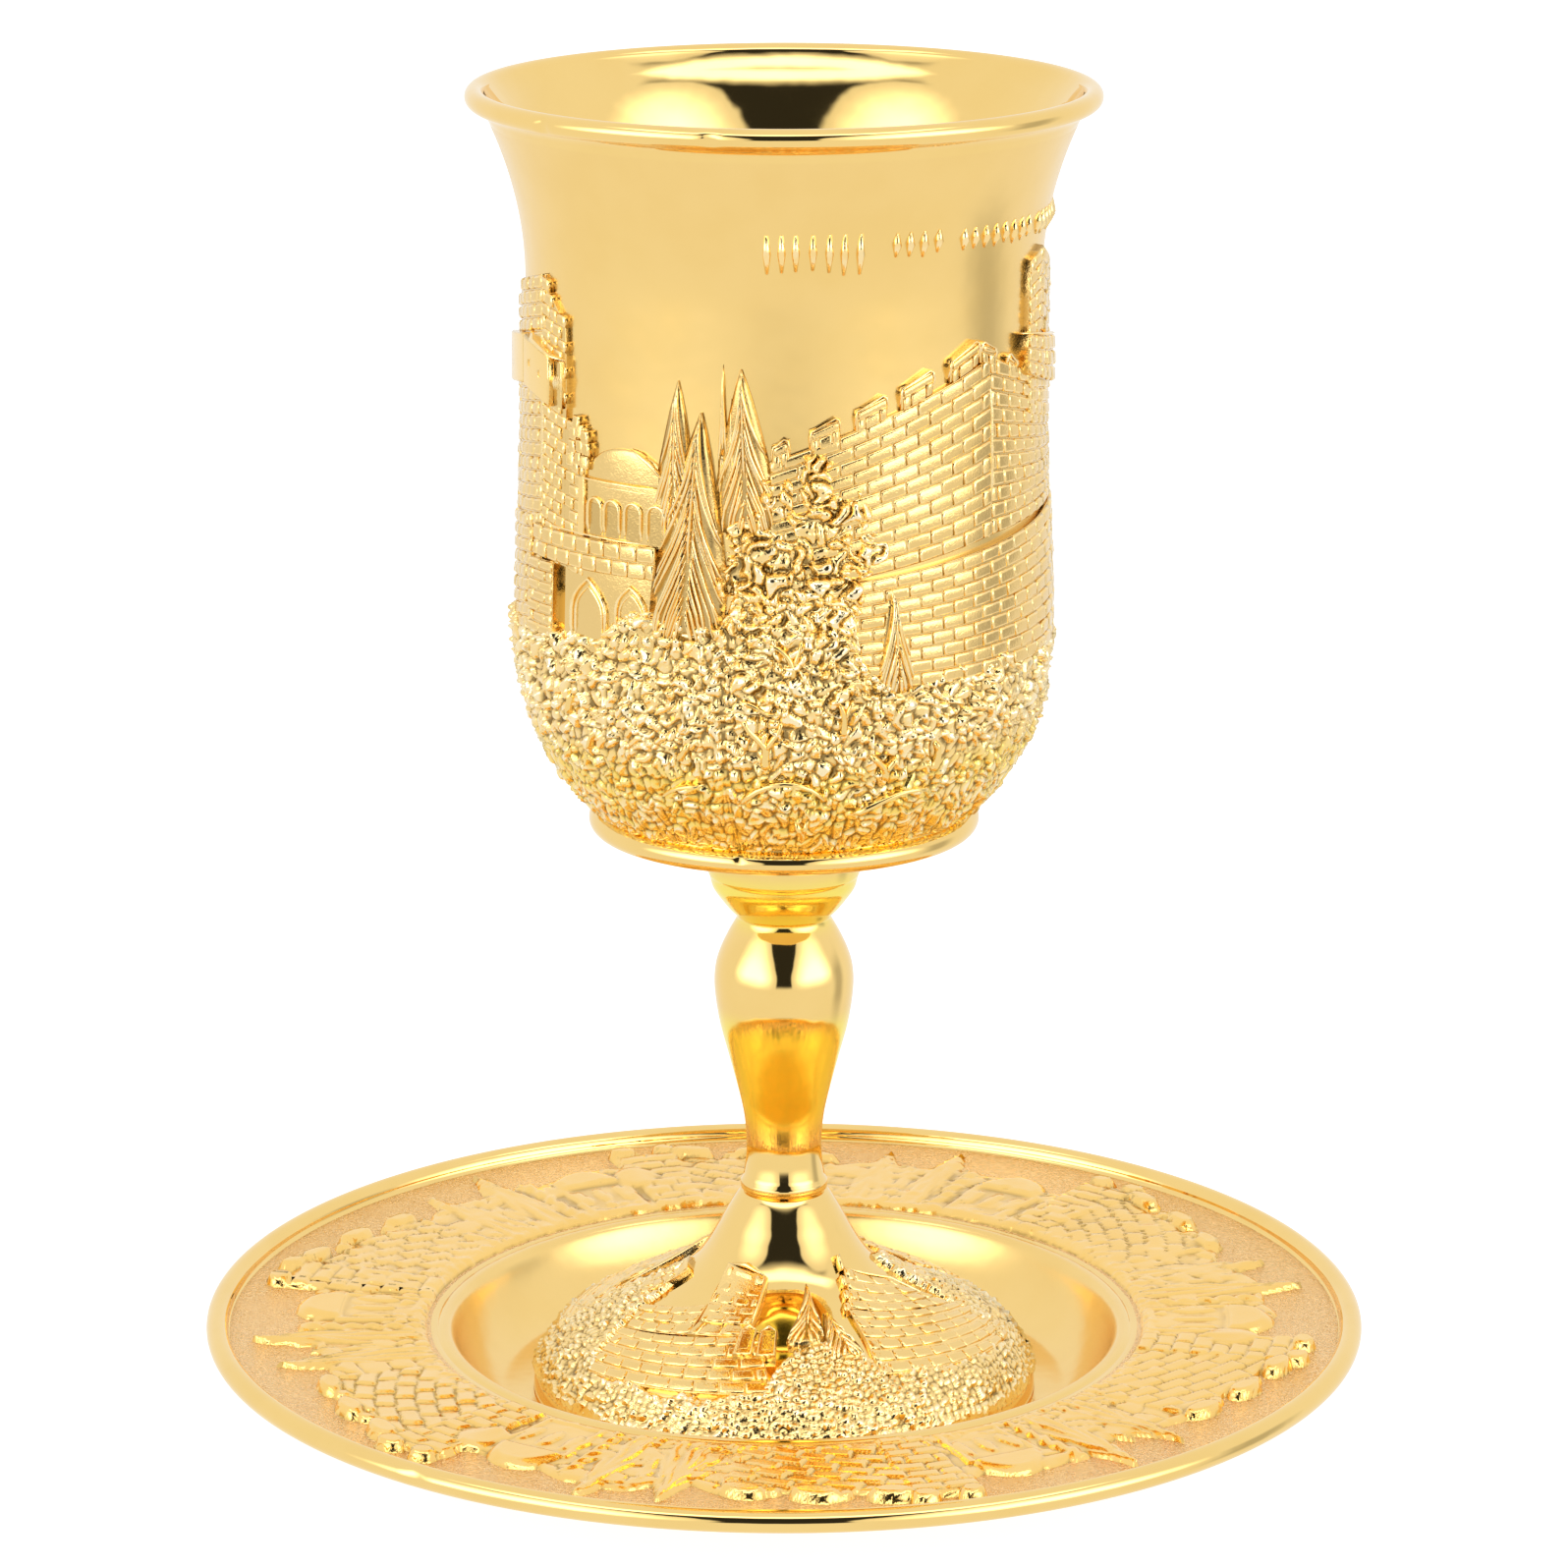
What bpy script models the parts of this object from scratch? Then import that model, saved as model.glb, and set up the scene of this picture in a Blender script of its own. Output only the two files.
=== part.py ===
# A cast and gold-plated kiddush cup that stands in the well of its saucer.
# The bowl, the foot and the saucer's rim carry a low relief of a walled hill town.
# The script works in metres with +Z up. The origin is on the axis, under the saucer.

import math

import bmesh
import bpy

MM = 0.001

# Driving sizes in millimetres. Heights are measured from the saucer's underside.
CUP_TOP = 168.1
RIM_RADIUS = 38.65
RIM_BEAD = 1.25
WAIST_RADIUS = 31.5
WAIST_HEIGHT = 145.0
FLARE_TOP = 165.2
FLARE_SPREAD = 4.9
BELLY_RADIUS = 32.3
BELLY_HEIGHT = 101.6
BOWL_FLOOR = 79.6
WALL = 1.5
FLANGE_RADIUS = 24.35
FLANGE_BEAD = 1.45
FLANGE_HEIGHT = 76.65
STEM_TOP = 74.9
STEM_BOTTOM = 27.9
STEM_FOOT_RADIUS = 5.5
FOOT_RADIUS = 32.0
FOOT_WALL = 2.0
SAUCER_RADIUS = 73.4
SAUCER_BEAD = 1.4
SAUCER_BEAD_HEIGHT = 11.3
SAUCER_SHEET = 1.5
RIM_OUTER = 70.6
RIM_INNER = 44.0
RIM_HEIGHT = 9.9
RIM_RISE = 0.8
WELL_FLOOR = 1.6
WELL_RADIUS = 35.0
SEAT_GAP = 0.3

# How far the relief stands proud, and how deep a figure's back is sunk in the wall
FIGURE_LIFT = 0.8
FRONT_LIFT = 1.25
GALLERY_LIFT = 1.7
SINK = 0.7

# The bowl's and the foot's bands of bushes: lowest and highest point, and the most lift
BOWL_BUSHES = (80.0, 104.5)
BOWL_BUSH_LIFT = 1.05
FOOT_BUSHES = (3.0, 11.4)
FOOT_BUSH_LIFT = 0.7

# The feet of the bowl's walls, towers and houses, each kept off the others' line
WALL_FOOT = 94.0
TOWER_FOOT = 95.1
HOUSE_FOOT = 93.3

# How often the foot's and the saucer's towns repeat round the axis
FOOT_STRETCHES = 6
SAUCER_STRETCHES = 6

# The widest turn in degrees that one flat face of a figure spans
CELL_TURN = 13.0

# Facets round each turned piece
BOWL_STEPS = 36
STEM_STEPS = 20
FOOT_STEPS = 28
SAUCER_STEPS = 36

SHARP_ANGLE = 35.0
GOLD = (0.90, 0.62, 0.20, 1.0)
PALE_GOLD = (0.92, 0.68, 0.30, 1.0)


def clear_scene():
    for scene_object in list(bpy.data.objects):
        bpy.data.objects.remove(scene_object, do_unlink=True)


def new_collection(name):
    collection = bpy.data.collections.new(name)
    bpy.context.scene.collection.children.link(collection)
    return collection


def gold_material(name, colour, roughness):
    material = bpy.data.materials.new(name)
    material.use_nodes = True
    shader = material.node_tree.nodes["Principled BSDF"]
    shader.inputs["Base Color"].default_value = colour
    shader.inputs["Metallic"].default_value = 1.0
    shader.inputs["Roughness"].default_value = roughness
    material.diffuse_color = colour
    return material


# Profiles are lists of (radius, height) points in millimetres


def arc(centre, radius, start, end, points):
    """Points on an arc, with angles in degrees from +X towards +Z."""
    found = []
    for i in range(points):
        turn = math.radians(start + (end - start) * i / (points - 1))
        found.append((centre[0] + radius * math.cos(turn), centre[1] + radius * math.sin(turn)))
    return found


def smooth_curve(keys, pieces):
    """A smooth curve through the key points, with so many straight pieces between each two."""
    found = [keys[0]]
    for i in range(len(keys) - 1):
        near = (keys[max(i - 1, 0)], keys[i], keys[i + 1], keys[min(i + 2, len(keys) - 1)])
        for k in range(1, pieces + 1):
            t = k / pieces
            point = []
            for a, b, c, d in zip(*near):
                bend = (2 * a - 5 * b + 4 * c - d) * t + (3 * b - a - 3 * c + d) * t * t
                point.append(b + 0.5 * t * (c - a + bend))
            found.append(tuple(point))
    return found


def value_at(pairs, x):
    """Reads a height or a radius off a list of (x, y) pairs sorted by x."""
    for (x0, y0), (x1, y1) in zip(pairs, pairs[1:]):
        if x <= x1:
            return y0 + (y1 - y0) * (x - x0) / (x1 - x0)
    return pairs[-1][1]


def flare(height):
    """The bowl's plain upper wall, which opens like a bell above the waist."""
    climb = (height - WAIST_HEIGHT) / (FLARE_TOP - WAIST_HEIGHT)
    return WAIST_RADIUS + FLARE_SPREAD * climb * climb


def bowl_outside():
    """From under the rim bead down to the flange."""
    upper = [(flare(height), height) for height in (FLARE_TOP, 160.0, 153.5, WAIST_HEIGHT)]
    body = [(31.6, 130.0), (32.0, 114.0)]
    return upper + body + smooth_curve([(BELLY_RADIUS, BELLY_HEIGHT), (30.6, 90.6), (24.1, 79.4)], 2)


def bowl_profile():
    bead = arc((RIM_RADIUS - RIM_BEAD, CUP_TOP - RIM_BEAD), RIM_BEAD, 165, -70, 4)
    flange = arc((FLANGE_RADIUS - FLANGE_BEAD, FLANGE_HEIGHT), FLANGE_BEAD, 65, -90, 3)
    inside = smooth_curve([(0.0, BOWL_FLOOR), (23.0, 85.8), (30.6, 104.0)], 2)
    inside += [(WAIST_RADIUS - WALL, 140.0)]
    inside += [(flare(height) - WALL, height) for height in (153.5, 162.0)]
    return inside + bead + bowl_outside() + flange + [(0.0, FLANGE_HEIGHT - FLANGE_BEAD)]


def stem_profile():
    """A collar under the bowl, then a long baluster that narrows to the foot."""
    collar = [(8.6, STEM_TOP), (9.7, 71.4), (9.2, 69.0), (7.2, 66.3)]
    baluster = smooth_curve([(6.05, 64.0), (8.75, 55.6), (7.6, 47.8), (4.72, 34.4), (5.2, 29.2)], 3)
    lip = [(STEM_FOOT_RADIUS, 28.7), (STEM_FOOT_RADIUS, STEM_BOTTOM), (0.0, STEM_BOTTOM)]
    return [(0.0, STEM_TOP)] + collar + baluster + lip


def foot_outside():
    """From the neck, which meets the stem, down and out to the base."""
    neck = smooth_curve([(STEM_FOOT_RADIUS, STEM_BOTTOM - SEAT_GAP), (8.5, 22.6), (13.4, 16.8)], 2)
    shoulder = [(20.0, 13.6), (24.6, 11.1), (28.2, 8.6), (30.6, 5.6)]
    return neck + shoulder + [(FOOT_RADIUS, WELL_FLOOR + SEAT_GAP)]


def foot_profile():
    base = (FOOT_RADIUS - FOOT_WALL, WELL_FLOOR + SEAT_GAP)
    inside = [base, (27.4, 6.6), (18.0, 12.0), (0.0, 14.6)]
    return [(0.0, STEM_BOTTOM - SEAT_GAP)] + foot_outside() + inside


def rim_top(radius):
    """The saucer's rim falls a little from the bead to the well."""
    return RIM_HEIGHT + RIM_RISE * (radius - RIM_INNER) / (RIM_OUTER - RIM_INNER)


def saucer_profile():
    well = smooth_curve([(WELL_RADIUS, WELL_FLOOR), (40.0, 5.3), (42.1, 9.5)], 2)
    lip = [(42.9, RIM_HEIGHT + 0.25)]
    ground = [(radius, rim_top(radius)) for radius in (RIM_INNER, 57.0, RIM_OUTER)]
    bead = arc((SAUCER_RADIUS - SAUCER_BEAD, SAUCER_BEAD_HEIGHT), SAUCER_BEAD, 150, -100, 4)
    under_rim = [(45.0, rim_top(45.0) - SAUCER_SHEET)]
    under_well = [(41.6, 4.8), (36.6, 0.0), (0.0, 0.0)]
    return [(0.0, WELL_FLOOR)] + well + lip + ground + bead + under_rim + under_well


def turned(name, profile, steps):
    """A solid of revolution, made by a Screw and kept as a plain mesh."""
    mesh = bpy.data.meshes.new(name + "_profile")
    points = [(radius * MM, 0.0, height * MM) for radius, height in profile]
    edges = [(i, i + 1) for i in range(len(points) - 1)]
    mesh.from_pydata(points, edges, [])
    guide = bpy.data.objects.new(name + "_profile", mesh)
    bpy.context.scene.collection.objects.link(guide)
    screw = guide.modifiers.new("turn", "SCREW")
    screw.axis = "Z"
    screw.angle = math.tau
    screw.steps = steps
    screw.render_steps = steps
    screw.use_merge_vertices = True
    screw.merge_threshold = 0.00001
    graph = bpy.context.evaluated_depsgraph_get()
    solid = bpy.data.meshes.new_from_object(guide.evaluated_get(graph))
    bpy.data.objects.remove(guide, do_unlink=True)
    solid.name = name
    return bpy.data.objects.new(name, solid)


# Each carved surface is a function from (turn, climb, lift) to a point.
# turn is in degrees round the axis from the front, positive to the viewer's right.
# climb runs up the picture in millimetres, and lift stands off the ground.


def round_axis(turn, radius, height):
    angle = math.radians(turn)
    return (radius * math.sin(angle) * MM, -radius * math.cos(angle) * MM, height * MM)


BOWL_RADII = sorted((height, radius) for radius, height in bowl_outside())
FOOT_RADII = sorted((height, radius) for radius, height in foot_outside())
FOOT_HEIGHTS = sorted(foot_outside())
FOOT_SLOPE = math.radians(58)


def on_bowl(turn, climb, lift):
    return round_axis(turn, value_at(BOWL_RADII, climb) + lift, climb)


def on_foot(turn, climb, lift):
    radius = FOOT_RADIUS - climb
    height = value_at(FOOT_HEIGHTS, radius)
    return round_axis(turn, radius + lift * math.cos(FOOT_SLOPE), height + lift * math.sin(FOOT_SLOPE))


def on_saucer(turn, climb, lift):
    return round_axis(turn, climb, rim_top(climb) + lift)


def scatter(turn, climb):
    """A fixed pseudo-random number from 0 to 1 for each place."""
    value = math.sin(turn * 12.9898 + climb * 78.233) * 43758.5453
    return value - math.floor(value)


# A figure is a sheet of rows of (turn, climb, swell) points, from its foot to its top.
# Its front stands off the ground by the figure's lift times each point's swell.


def block(left, right, foot, top):
    """A plain wall face, or a tower with a level top."""
    cells = math.ceil((right - left) / CELL_TURN)
    turns = [left + (right - left) * i / cells for i in range(cells + 1)]
    return [[(turn, climb, 1.0) for turn in turns] for climb in (foot, top)]


def sloping(rows, rise):
    """Tilts the top of a block, which climbs by rise for each degree of turn from its left end."""
    left = rows[-1][0][0]
    tilted = [(turn, climb + rise * (turn - left), swell) for turn, climb, swell in rows[-1]]
    return rows[:-1] + [tilted]


def battlement(left, right, foot, merlons, tooth):
    """A wall between two (turn, climb) top corners, with teeth in every other column."""
    columns = 2 * merlons - 1
    turns = [left[0] + (right[0] - left[0]) * i / columns for i in range(columns + 1)]
    tops = [left[1] + (right[1] - left[1]) * i / columns for i in range(columns + 1)]
    return [
        [(turn, foot, 1.0) for turn in turns],
        [(turn, top, 1.0) for turn, top in zip(turns, tops)],
        [(turn, top + tooth, 1.0) for turn, top in zip(turns, tops)],
    ]


def ridged(middle, rows, tip):
    """A rounded form from rows of (half width, climb), highest along its middle."""
    sheet = []
    for across, climb in rows:
        sheet.append([(middle - across, climb, 0.5), (middle, climb, 1.2), (middle + across, climb, 0.5)])
    return sheet + [[(middle, tip, 0.5)] * 3]


def half_dome(middle, half_width, foot, rise):
    rows = []
    for angle in (0, 30, 60):
        turn = math.radians(angle)
        rows.append((half_width * math.cos(turn), foot + rise * math.sin(turn)))
    return ridged(middle, rows, foot + rise)


def spire(middle, half_width, foot, tip):
    """A cypress, widest near its foot and drawn out to a point."""
    shares = ((0.62, 0.0), (1.0, 0.2), (0.56, 0.64))
    rows = [(half_width * across, foot + (tip - foot) * climb) for across, climb in shares]
    return ridged(middle, rows, tip)


def crown(middle, climb, half_width, half_height, lobes):
    """The lobed crown of a round tree, as rings of points round its middle."""
    rows = []
    for share in (0.0, 0.52, 1.0):
        ring = []
        for i in range(2 * lobes):
            angle = math.pi * i / lobes
            reach = share * (1.0 + 0.12 * math.cos(lobes * angle))
            turn = middle + half_width * reach * math.cos(angle)
            height = climb + half_height * reach * math.sin(angle)
            ring.append((turn, height, 1.25 - 0.75 * share + 0.3 * scatter(turn, height)))
        rows.append(ring + ring[:1])
    return rows


def in_triangles(mesh):
    shape = bmesh.new()
    shape.from_mesh(mesh)
    bmesh.ops.triangulate(shape, faces=shape.faces[:])
    bmesh.ops.recalc_face_normals(shape, faces=shape.faces[:])
    shape.to_mesh(mesh)
    shape.free()


def raised_figure(name, rows, place, lift, cutters, toothed=False):
    """Wraps a sheet on a carved surface as a closed slab, its back sunk in the wall.

    A toothed sheet has no cell in every other column of its top row.
    """
    sheet = []
    faces = []
    for k in range(len(rows) - 1):
        for i in range(len(rows[k]) - 1):
            if toothed and k == len(rows) - 2 and i % 2:
                continue
            face = []
            for point in (rows[k][i], rows[k][i + 1], rows[k + 1][i + 1], rows[k + 1][i]):
                if point not in sheet:
                    sheet.append(point)
                if sheet.index(point) not in face:
                    face.append(sheet.index(point))
            faces.append(face)
    steps = {(a, b) for face in faces for a, b in zip(face, face[1:] + face[:1])}
    behind = len(sheet)
    points = [place(turn, climb, lift * swell) for turn, climb, swell in sheet]
    points += [place(turn, climb, -SINK) for turn, climb, _ in sheet]
    backs = [[behind + i for i in reversed(face)] for face in faces]
    sides = [(b, a, behind + a, behind + b) for a, b in sorted(steps) if (b, a) not in steps]
    mesh = bpy.data.meshes.new(name)
    mesh.from_pydata(points, [], faces + backs + sides)
    in_triangles(mesh)
    figure = bpy.data.objects.new(name, mesh)
    figure.hide_render = True
    figure.display_type = "WIRE"
    cutters.objects.link(figure)


def bowl_town(cutters):
    """The town round the bowl: walls, towers, a domed hall and trees."""

    def add(name, rows, lift=FIGURE_LIFT):
        raised_figure("bowl_" + name, rows, on_bowl, lift, cutters)

    def add_wall(name, rows, lift=FIGURE_LIFT):
        raised_figure("bowl_" + name, rows, on_bowl, lift, cutters, toothed=True)

    add_wall("right_wall", battlement((-2.0, 128.6), (50.5, 138.7), WALL_FOOT, 5, 2.1))
    add_wall("far_wall", battlement((49.0, 138.2), (69.0, 133.4), HOUSE_FOOT, 2, 1.8), 0.65)
    add("low_wall", sloping(block(14.0, 85.2, 92.5, 113.4), 0.065), FRONT_LIFT)
    add("right_tower", block(67.0, 86.4, TOWER_FOOT, 149.5), 0.95)
    add("right_ledge", sloping(block(61.8, 87.3, 134.2, 140.1), -0.12), GALLERY_LIFT)
    add("left_tower", block(-88.0, -62.5, TOWER_FOOT, 148.0), 0.85)
    add("left_tower_side", block(-66.0, -54.0, WALL_FOOT, 144.6), 0.75)
    add("gallery_left", block(-81.0, -67.3, 131.2, 139.8), GALLERY_LIFT)
    add("gallery_right", block(-65.0, -53.1, 131.0, 138.8), GALLERY_LIFT)
    add_wall("left_wall", battlement((-58.3, 128.0), (-46.0, 127.6), HOUSE_FOOT, 2, 1.8), 1.05)
    add("drum", block(-48.6, -25.2, 110.0, 124.0), 0.7)
    add("dome", half_dome(-36.9, 11.2, 123.7, 4.4), 0.95)
    add("course", block(-60.4, -26.4, 112.4, 116.6), FRONT_LIFT)
    add("arcade", block(-47.9, -28.4, WALL_FOOT, 112.9), 0.9)
    add("cypress_a", spire(-23.0, 4.4, 113.0, 137.2), 0.95)
    add("cypress_b", spire(-17.6, 3.4, 112.2, 133.6), 0.85)
    add("cypress_c", spire(-20.0, 8.2, 104.0, 131.0), 1.5)
    add("cypress_d", spire(-8.2, 6.2, 118.0, 138.9), 1.1)
    add("cypress_e", spire(23.4, 4.6, 96.0, 112.8), 1.9)
    add("crown_a", crown(3.5, 116.0, 15.0, 10.5, 7), 1.45)

    add_wall("back_wall_a", battlement((85.7, 139.4), (126.0, 129.0), WALL_FOOT, 4, 2.0))
    add("cypress_f", spire(131.0, 5.0, 100.0, 136.5), 1.2)
    add("cypress_g", spire(140.0, 5.6, 101.3, 131.5), 1.4)
    add("back_hall", block(147.0, 173.0, HOUSE_FOOT, 123.0), 0.85)
    add("back_dome", half_dome(160.0, 10.5, 122.6, 6.0), 1.1)
    add_wall("back_tower", battlement((174.2, 138.0), (186.3, 138.0), TOWER_FOOT, 2, 1.8), 1.2)
    add_wall("back_wall_b", battlement((185.1, 127.0), (236.0, 137.0), WALL_FOOT, 5, 2.1))
    add("crown_b", crown(207.0, 112.0, 14.0, 9.5, 7), 1.45)
    add("cypress_h", spire(237.4, 5.2, 100.0, 139.0), 1.2)
    add("cypress_i", spire(247.0, 4.2, 98.7, 131.0), 1.4)
    add("house", block(251.7, 264.4, HOUSE_FOOT, 121.0), 1.0)
    add_wall("back_wall_c", battlement((261.6, 130.0), (273.1, 130.0), WALL_FOOT, 2, 1.8))


def foot_town(cutters):
    """Stretches of wall climb the foot between brick towers, with cypresses before them."""

    def add(name, rows, lift):
        raised_figure("foot_" + name, rows, on_foot, lift, cutters)

    for i in range(FOOT_STRETCHES):
        middle = 360.0 / FOOT_STRETCHES * i - 15.5
        wall = block(middle + 6.0, middle + 54.0, 3.6, 11.0)
        wall[1] = [(turn, climb - 0.08 * abs(turn - middle - 20.0), swell) for turn, climb, swell in wall[1]]
        add(f"wall_{i}", wall, 0.75)
        tower = block(middle - 8.3, middle + 8.3, 6.0, 12.0)
        tower.append([(turn, 18.3, 1.0) for turn, _, _ in tower[0]])
        add(f"tower_{i}", tower, 1.0)
        add(f"cypress_a_{i}", spire(middle + 21.5, 4.4, 4.7, 15.7), 1.1)
        add(f"cypress_b_{i}", spire(middle + 31.0, 4.6, 4.1, 11.2), 1.2)


def saucer_town(cutters):
    """Stretches of the town stand on the well's lip, their tops towards the bead."""

    def add(name, rows, lift, toothed=False):
        raised_figure("saucer_" + name, rows, on_saucer, lift, cutters, toothed)

    for i in range(SAUCER_STRETCHES):
        middle = 360.0 / SAUCER_STRETCHES * i + 8.0
        wall = battlement((middle - 15.0, 60.5), (middle + 6.4, 63.5), 46.4, 3, 2.6)
        add(f"wall_{i}", wall, 0.7, toothed=True)
        add(f"tower_{i}", block(middle + 5.2, middle + 13.1, 45.8, 67.2), 1.0)
        add(f"hall_{i}", block(middle + 14.3, middle + 24.9, 46.1, 57.4), 0.8)
        add(f"dome_{i}", half_dome(middle + 19.6, 4.7, 57.0, 4.9), 1.2)
        add(f"cypress_a_{i}", spire(middle + 30.2, 3.0, 46.9, 68.2), 1.0)
        add(f"cypress_b_{i}", spire(middle + 37.0, 2.8, 46.3, 64.5), 0.9)


def ruffle(piece, outer_radii, band, most):
    """Lifts the outer wall's vertices in a band of bushes, each by its own amount."""
    skin = 0.2
    for vert in piece.data.vertices:
        x, y, z = vert.co
        height = z / MM
        radius = math.hypot(x, y) / MM
        if not band[0] < height < band[1] or radius < value_at(outer_radii, height) - skin:
            continue
        turn = round(math.degrees(math.atan2(x, -y)), 2)
        swell = 1.0 + most * scatter(turn, round(height, 2)) / radius
        vert.co.x = x * swell
        vert.co.y = y * swell


def join_figures(piece, cutters):
    in_triangles(piece.data)
    union = piece.modifiers.new("relief", "BOOLEAN")
    union.operation = "UNION"
    union.operand_type = "COLLECTION"
    union.collection = cutters
    union.solver = "EXACT"


def finish(piece, collection, material):
    piece.data.materials.clear()
    piece.data.materials.append(material)
    collection.objects.link(piece)
    piece.data.shade_smooth()
    piece.data.set_sharp_from_angle(angle=math.radians(SHARP_ANGLE))


def build():
    clear_scene()
    parts = new_collection("kiddush_cup")
    polished = gold_material("polished_gold", GOLD, 0.08)
    relief = gold_material("relief_gold", PALE_GOLD, 0.22)

    bowl = turned("bowl", bowl_profile(), BOWL_STEPS)
    ruffle(bowl, BOWL_RADII, BOWL_BUSHES, BOWL_BUSH_LIFT)
    bowl_figures = new_collection("bowl_figures")
    bowl_town(bowl_figures)
    join_figures(bowl, bowl_figures)
    finish(bowl, parts, relief)

    stem = turned("stem", stem_profile(), STEM_STEPS)
    finish(stem, parts, polished)

    foot = turned("foot", foot_profile(), FOOT_STEPS)
    ruffle(foot, FOOT_RADII, FOOT_BUSHES, FOOT_BUSH_LIFT)
    foot_figures = new_collection("foot_figures")
    foot_town(foot_figures)
    join_figures(foot, foot_figures)
    finish(foot, parts, relief)

    saucer = turned("saucer", saucer_profile(), SAUCER_STEPS)
    saucer_figures = new_collection("saucer_figures")
    saucer_town(saucer_figures)
    join_figures(saucer, saucer_figures)
    finish(saucer, parts, relief)


build()
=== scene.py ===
import math

import bmesh
import bpy
import numpy as np
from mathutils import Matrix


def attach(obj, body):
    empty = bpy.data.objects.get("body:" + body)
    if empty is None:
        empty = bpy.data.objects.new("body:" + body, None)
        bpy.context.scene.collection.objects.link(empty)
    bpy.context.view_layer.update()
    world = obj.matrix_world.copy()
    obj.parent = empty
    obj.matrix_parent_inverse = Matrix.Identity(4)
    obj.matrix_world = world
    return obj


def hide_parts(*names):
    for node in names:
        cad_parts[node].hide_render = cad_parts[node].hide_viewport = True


# A gold-plated kiddush cup standing in its saucer. Sizes are in millimetres until
# a mesh is made; heights are measured from the saucer's underside.

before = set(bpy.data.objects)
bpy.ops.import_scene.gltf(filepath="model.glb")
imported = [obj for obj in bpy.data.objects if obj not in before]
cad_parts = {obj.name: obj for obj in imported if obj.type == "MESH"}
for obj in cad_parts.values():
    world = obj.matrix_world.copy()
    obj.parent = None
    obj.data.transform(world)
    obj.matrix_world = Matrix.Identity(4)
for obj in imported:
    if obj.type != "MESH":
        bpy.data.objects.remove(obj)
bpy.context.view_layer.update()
mm = 0.001
print("stage: frame loaded")


# shader sockets written as sums and products

class Shade:
    def __init__(self, tree, socket=None):
        self.tree = tree
        self.socket = socket

    def node(self, kind, settings=None, inputs=None, output=0):
        made = self.tree.nodes.new(kind)
        for name, value in (settings or {}).items():
            setattr(made, name, value)
        for name, value in (inputs or {}).items():
            if isinstance(value, Shade):
                self.tree.links.new(value.socket, made.inputs[name])
            else:
                made.inputs[name].default_value = value
        return Shade(self.tree, made.outputs[output] if made.outputs else None)

    def math(self, operation, *values):
        return self.node("ShaderNodeMath", {"operation": operation}, dict(enumerate(values)))

    def __add__(self, other):
        return self.math("ADD", self, other)

    __radd__ = __add__

    def __sub__(self, other):
        return self.math("SUBTRACT", self, other)

    def __rsub__(self, other):
        return self.math("SUBTRACT", other, self)

    def __mul__(self, other):
        return self.math("MULTIPLY", self, other)

    __rmul__ = __mul__

    def rise(self, low, high):  # 0 below low, 1 above high, smooth between
        return self.node("ShaderNodeMapRange", {"interpolation_type": "SMOOTHSTEP"},
                         {"Value": self, "From Min": low, "From Max": high})

    def within(self, low, high, soft):  # 1 between low and high, with soft edges
        return self.rise(low - soft, low + soft) * (1 - self.rise(high - soft, high + soft))

    def blend(self, first, second):  # a colour mixed by this factor
        return self.node("ShaderNodeMix", {"data_type": "RGBA"}, {0: self, 6: first, 7: second}, 2)


def clearTree(holder):  # the emptied node tree of a material or world
    holder.use_nodes = True
    holder.node_tree.nodes.clear()
    return Shade(holder.node_tree)


# gold finishes; where one says nothing of a value, it has the plain one

plainGold = {"rough": 0.07, "roughMore": 0.08, "wave": 0.1, "grain": 0, "depth": 0.1,
             "reflectedGoldBands": [], "recess": 0, "crest": 0, "mottle": 0}
finishes = {
    "mirrorGold": {"colour": (0.93, 0.66, 0.245, 1), "rough": 0.045, "roughMore": 0.05, "wave": 0.08,
                   "reflectedGoldBands": [(37, 51), (63.5, 70)], "reflectedGoldColour": (1, 0.84, 0.14, 1)},
    "wallGold": {"colour": (0.93, 0.655, 0.245, 1), "rough": 0.2, "roughMore": 0.06},
    "castGold": {"colour": (0.98, 0.70, 0.28, 1), "wave": 0.15, "grain": 0.2, "depth": 0.12,
                 "reflectedGoldBands": [(60, 90)], "reflectedGoldColour": (1, 0.70, 0.13, 1), "recess": 0.85, "crest": 0.85},
    "reliefGold": {"colour": (0.99, 0.65, 0.2, 1), "roughMore": 0.12, "grain": 0.15, "depth": 0.12,
                   "recess": 0.4, "crest": 0.12},
    "satinGold": {"colour": (1, 0.70, 0.35, 1), "rough": 0.26, "grain": 1, "depth": 0.42, "mottle": 0.4},
}
# recess and deepest are colours of painted shade in the hollows, crest the colour of a painted highlight on
# the crests; the rest is wear
wearAndPaintedLight = {  # blotch sizes and depths are in mm, dull is a share of the finish's own colour
    "patch": 9, "speck": 0.5, "clump": 3, "swell": 3.5, "swellDepth": 0.4, "dull": (0.97, 0.95, 0.88, 1),
    "recess": (0.24, 0.13, 0.025, 1), "deepest": (0.06, 0.035, 0.01, 1), "crest": (1, 0.88, 0.58, 1),
    "mottle": (0.82, 0.47, 0.16, 1), "bandRough": 0.1, "recessRough": 0.12,
}


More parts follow.
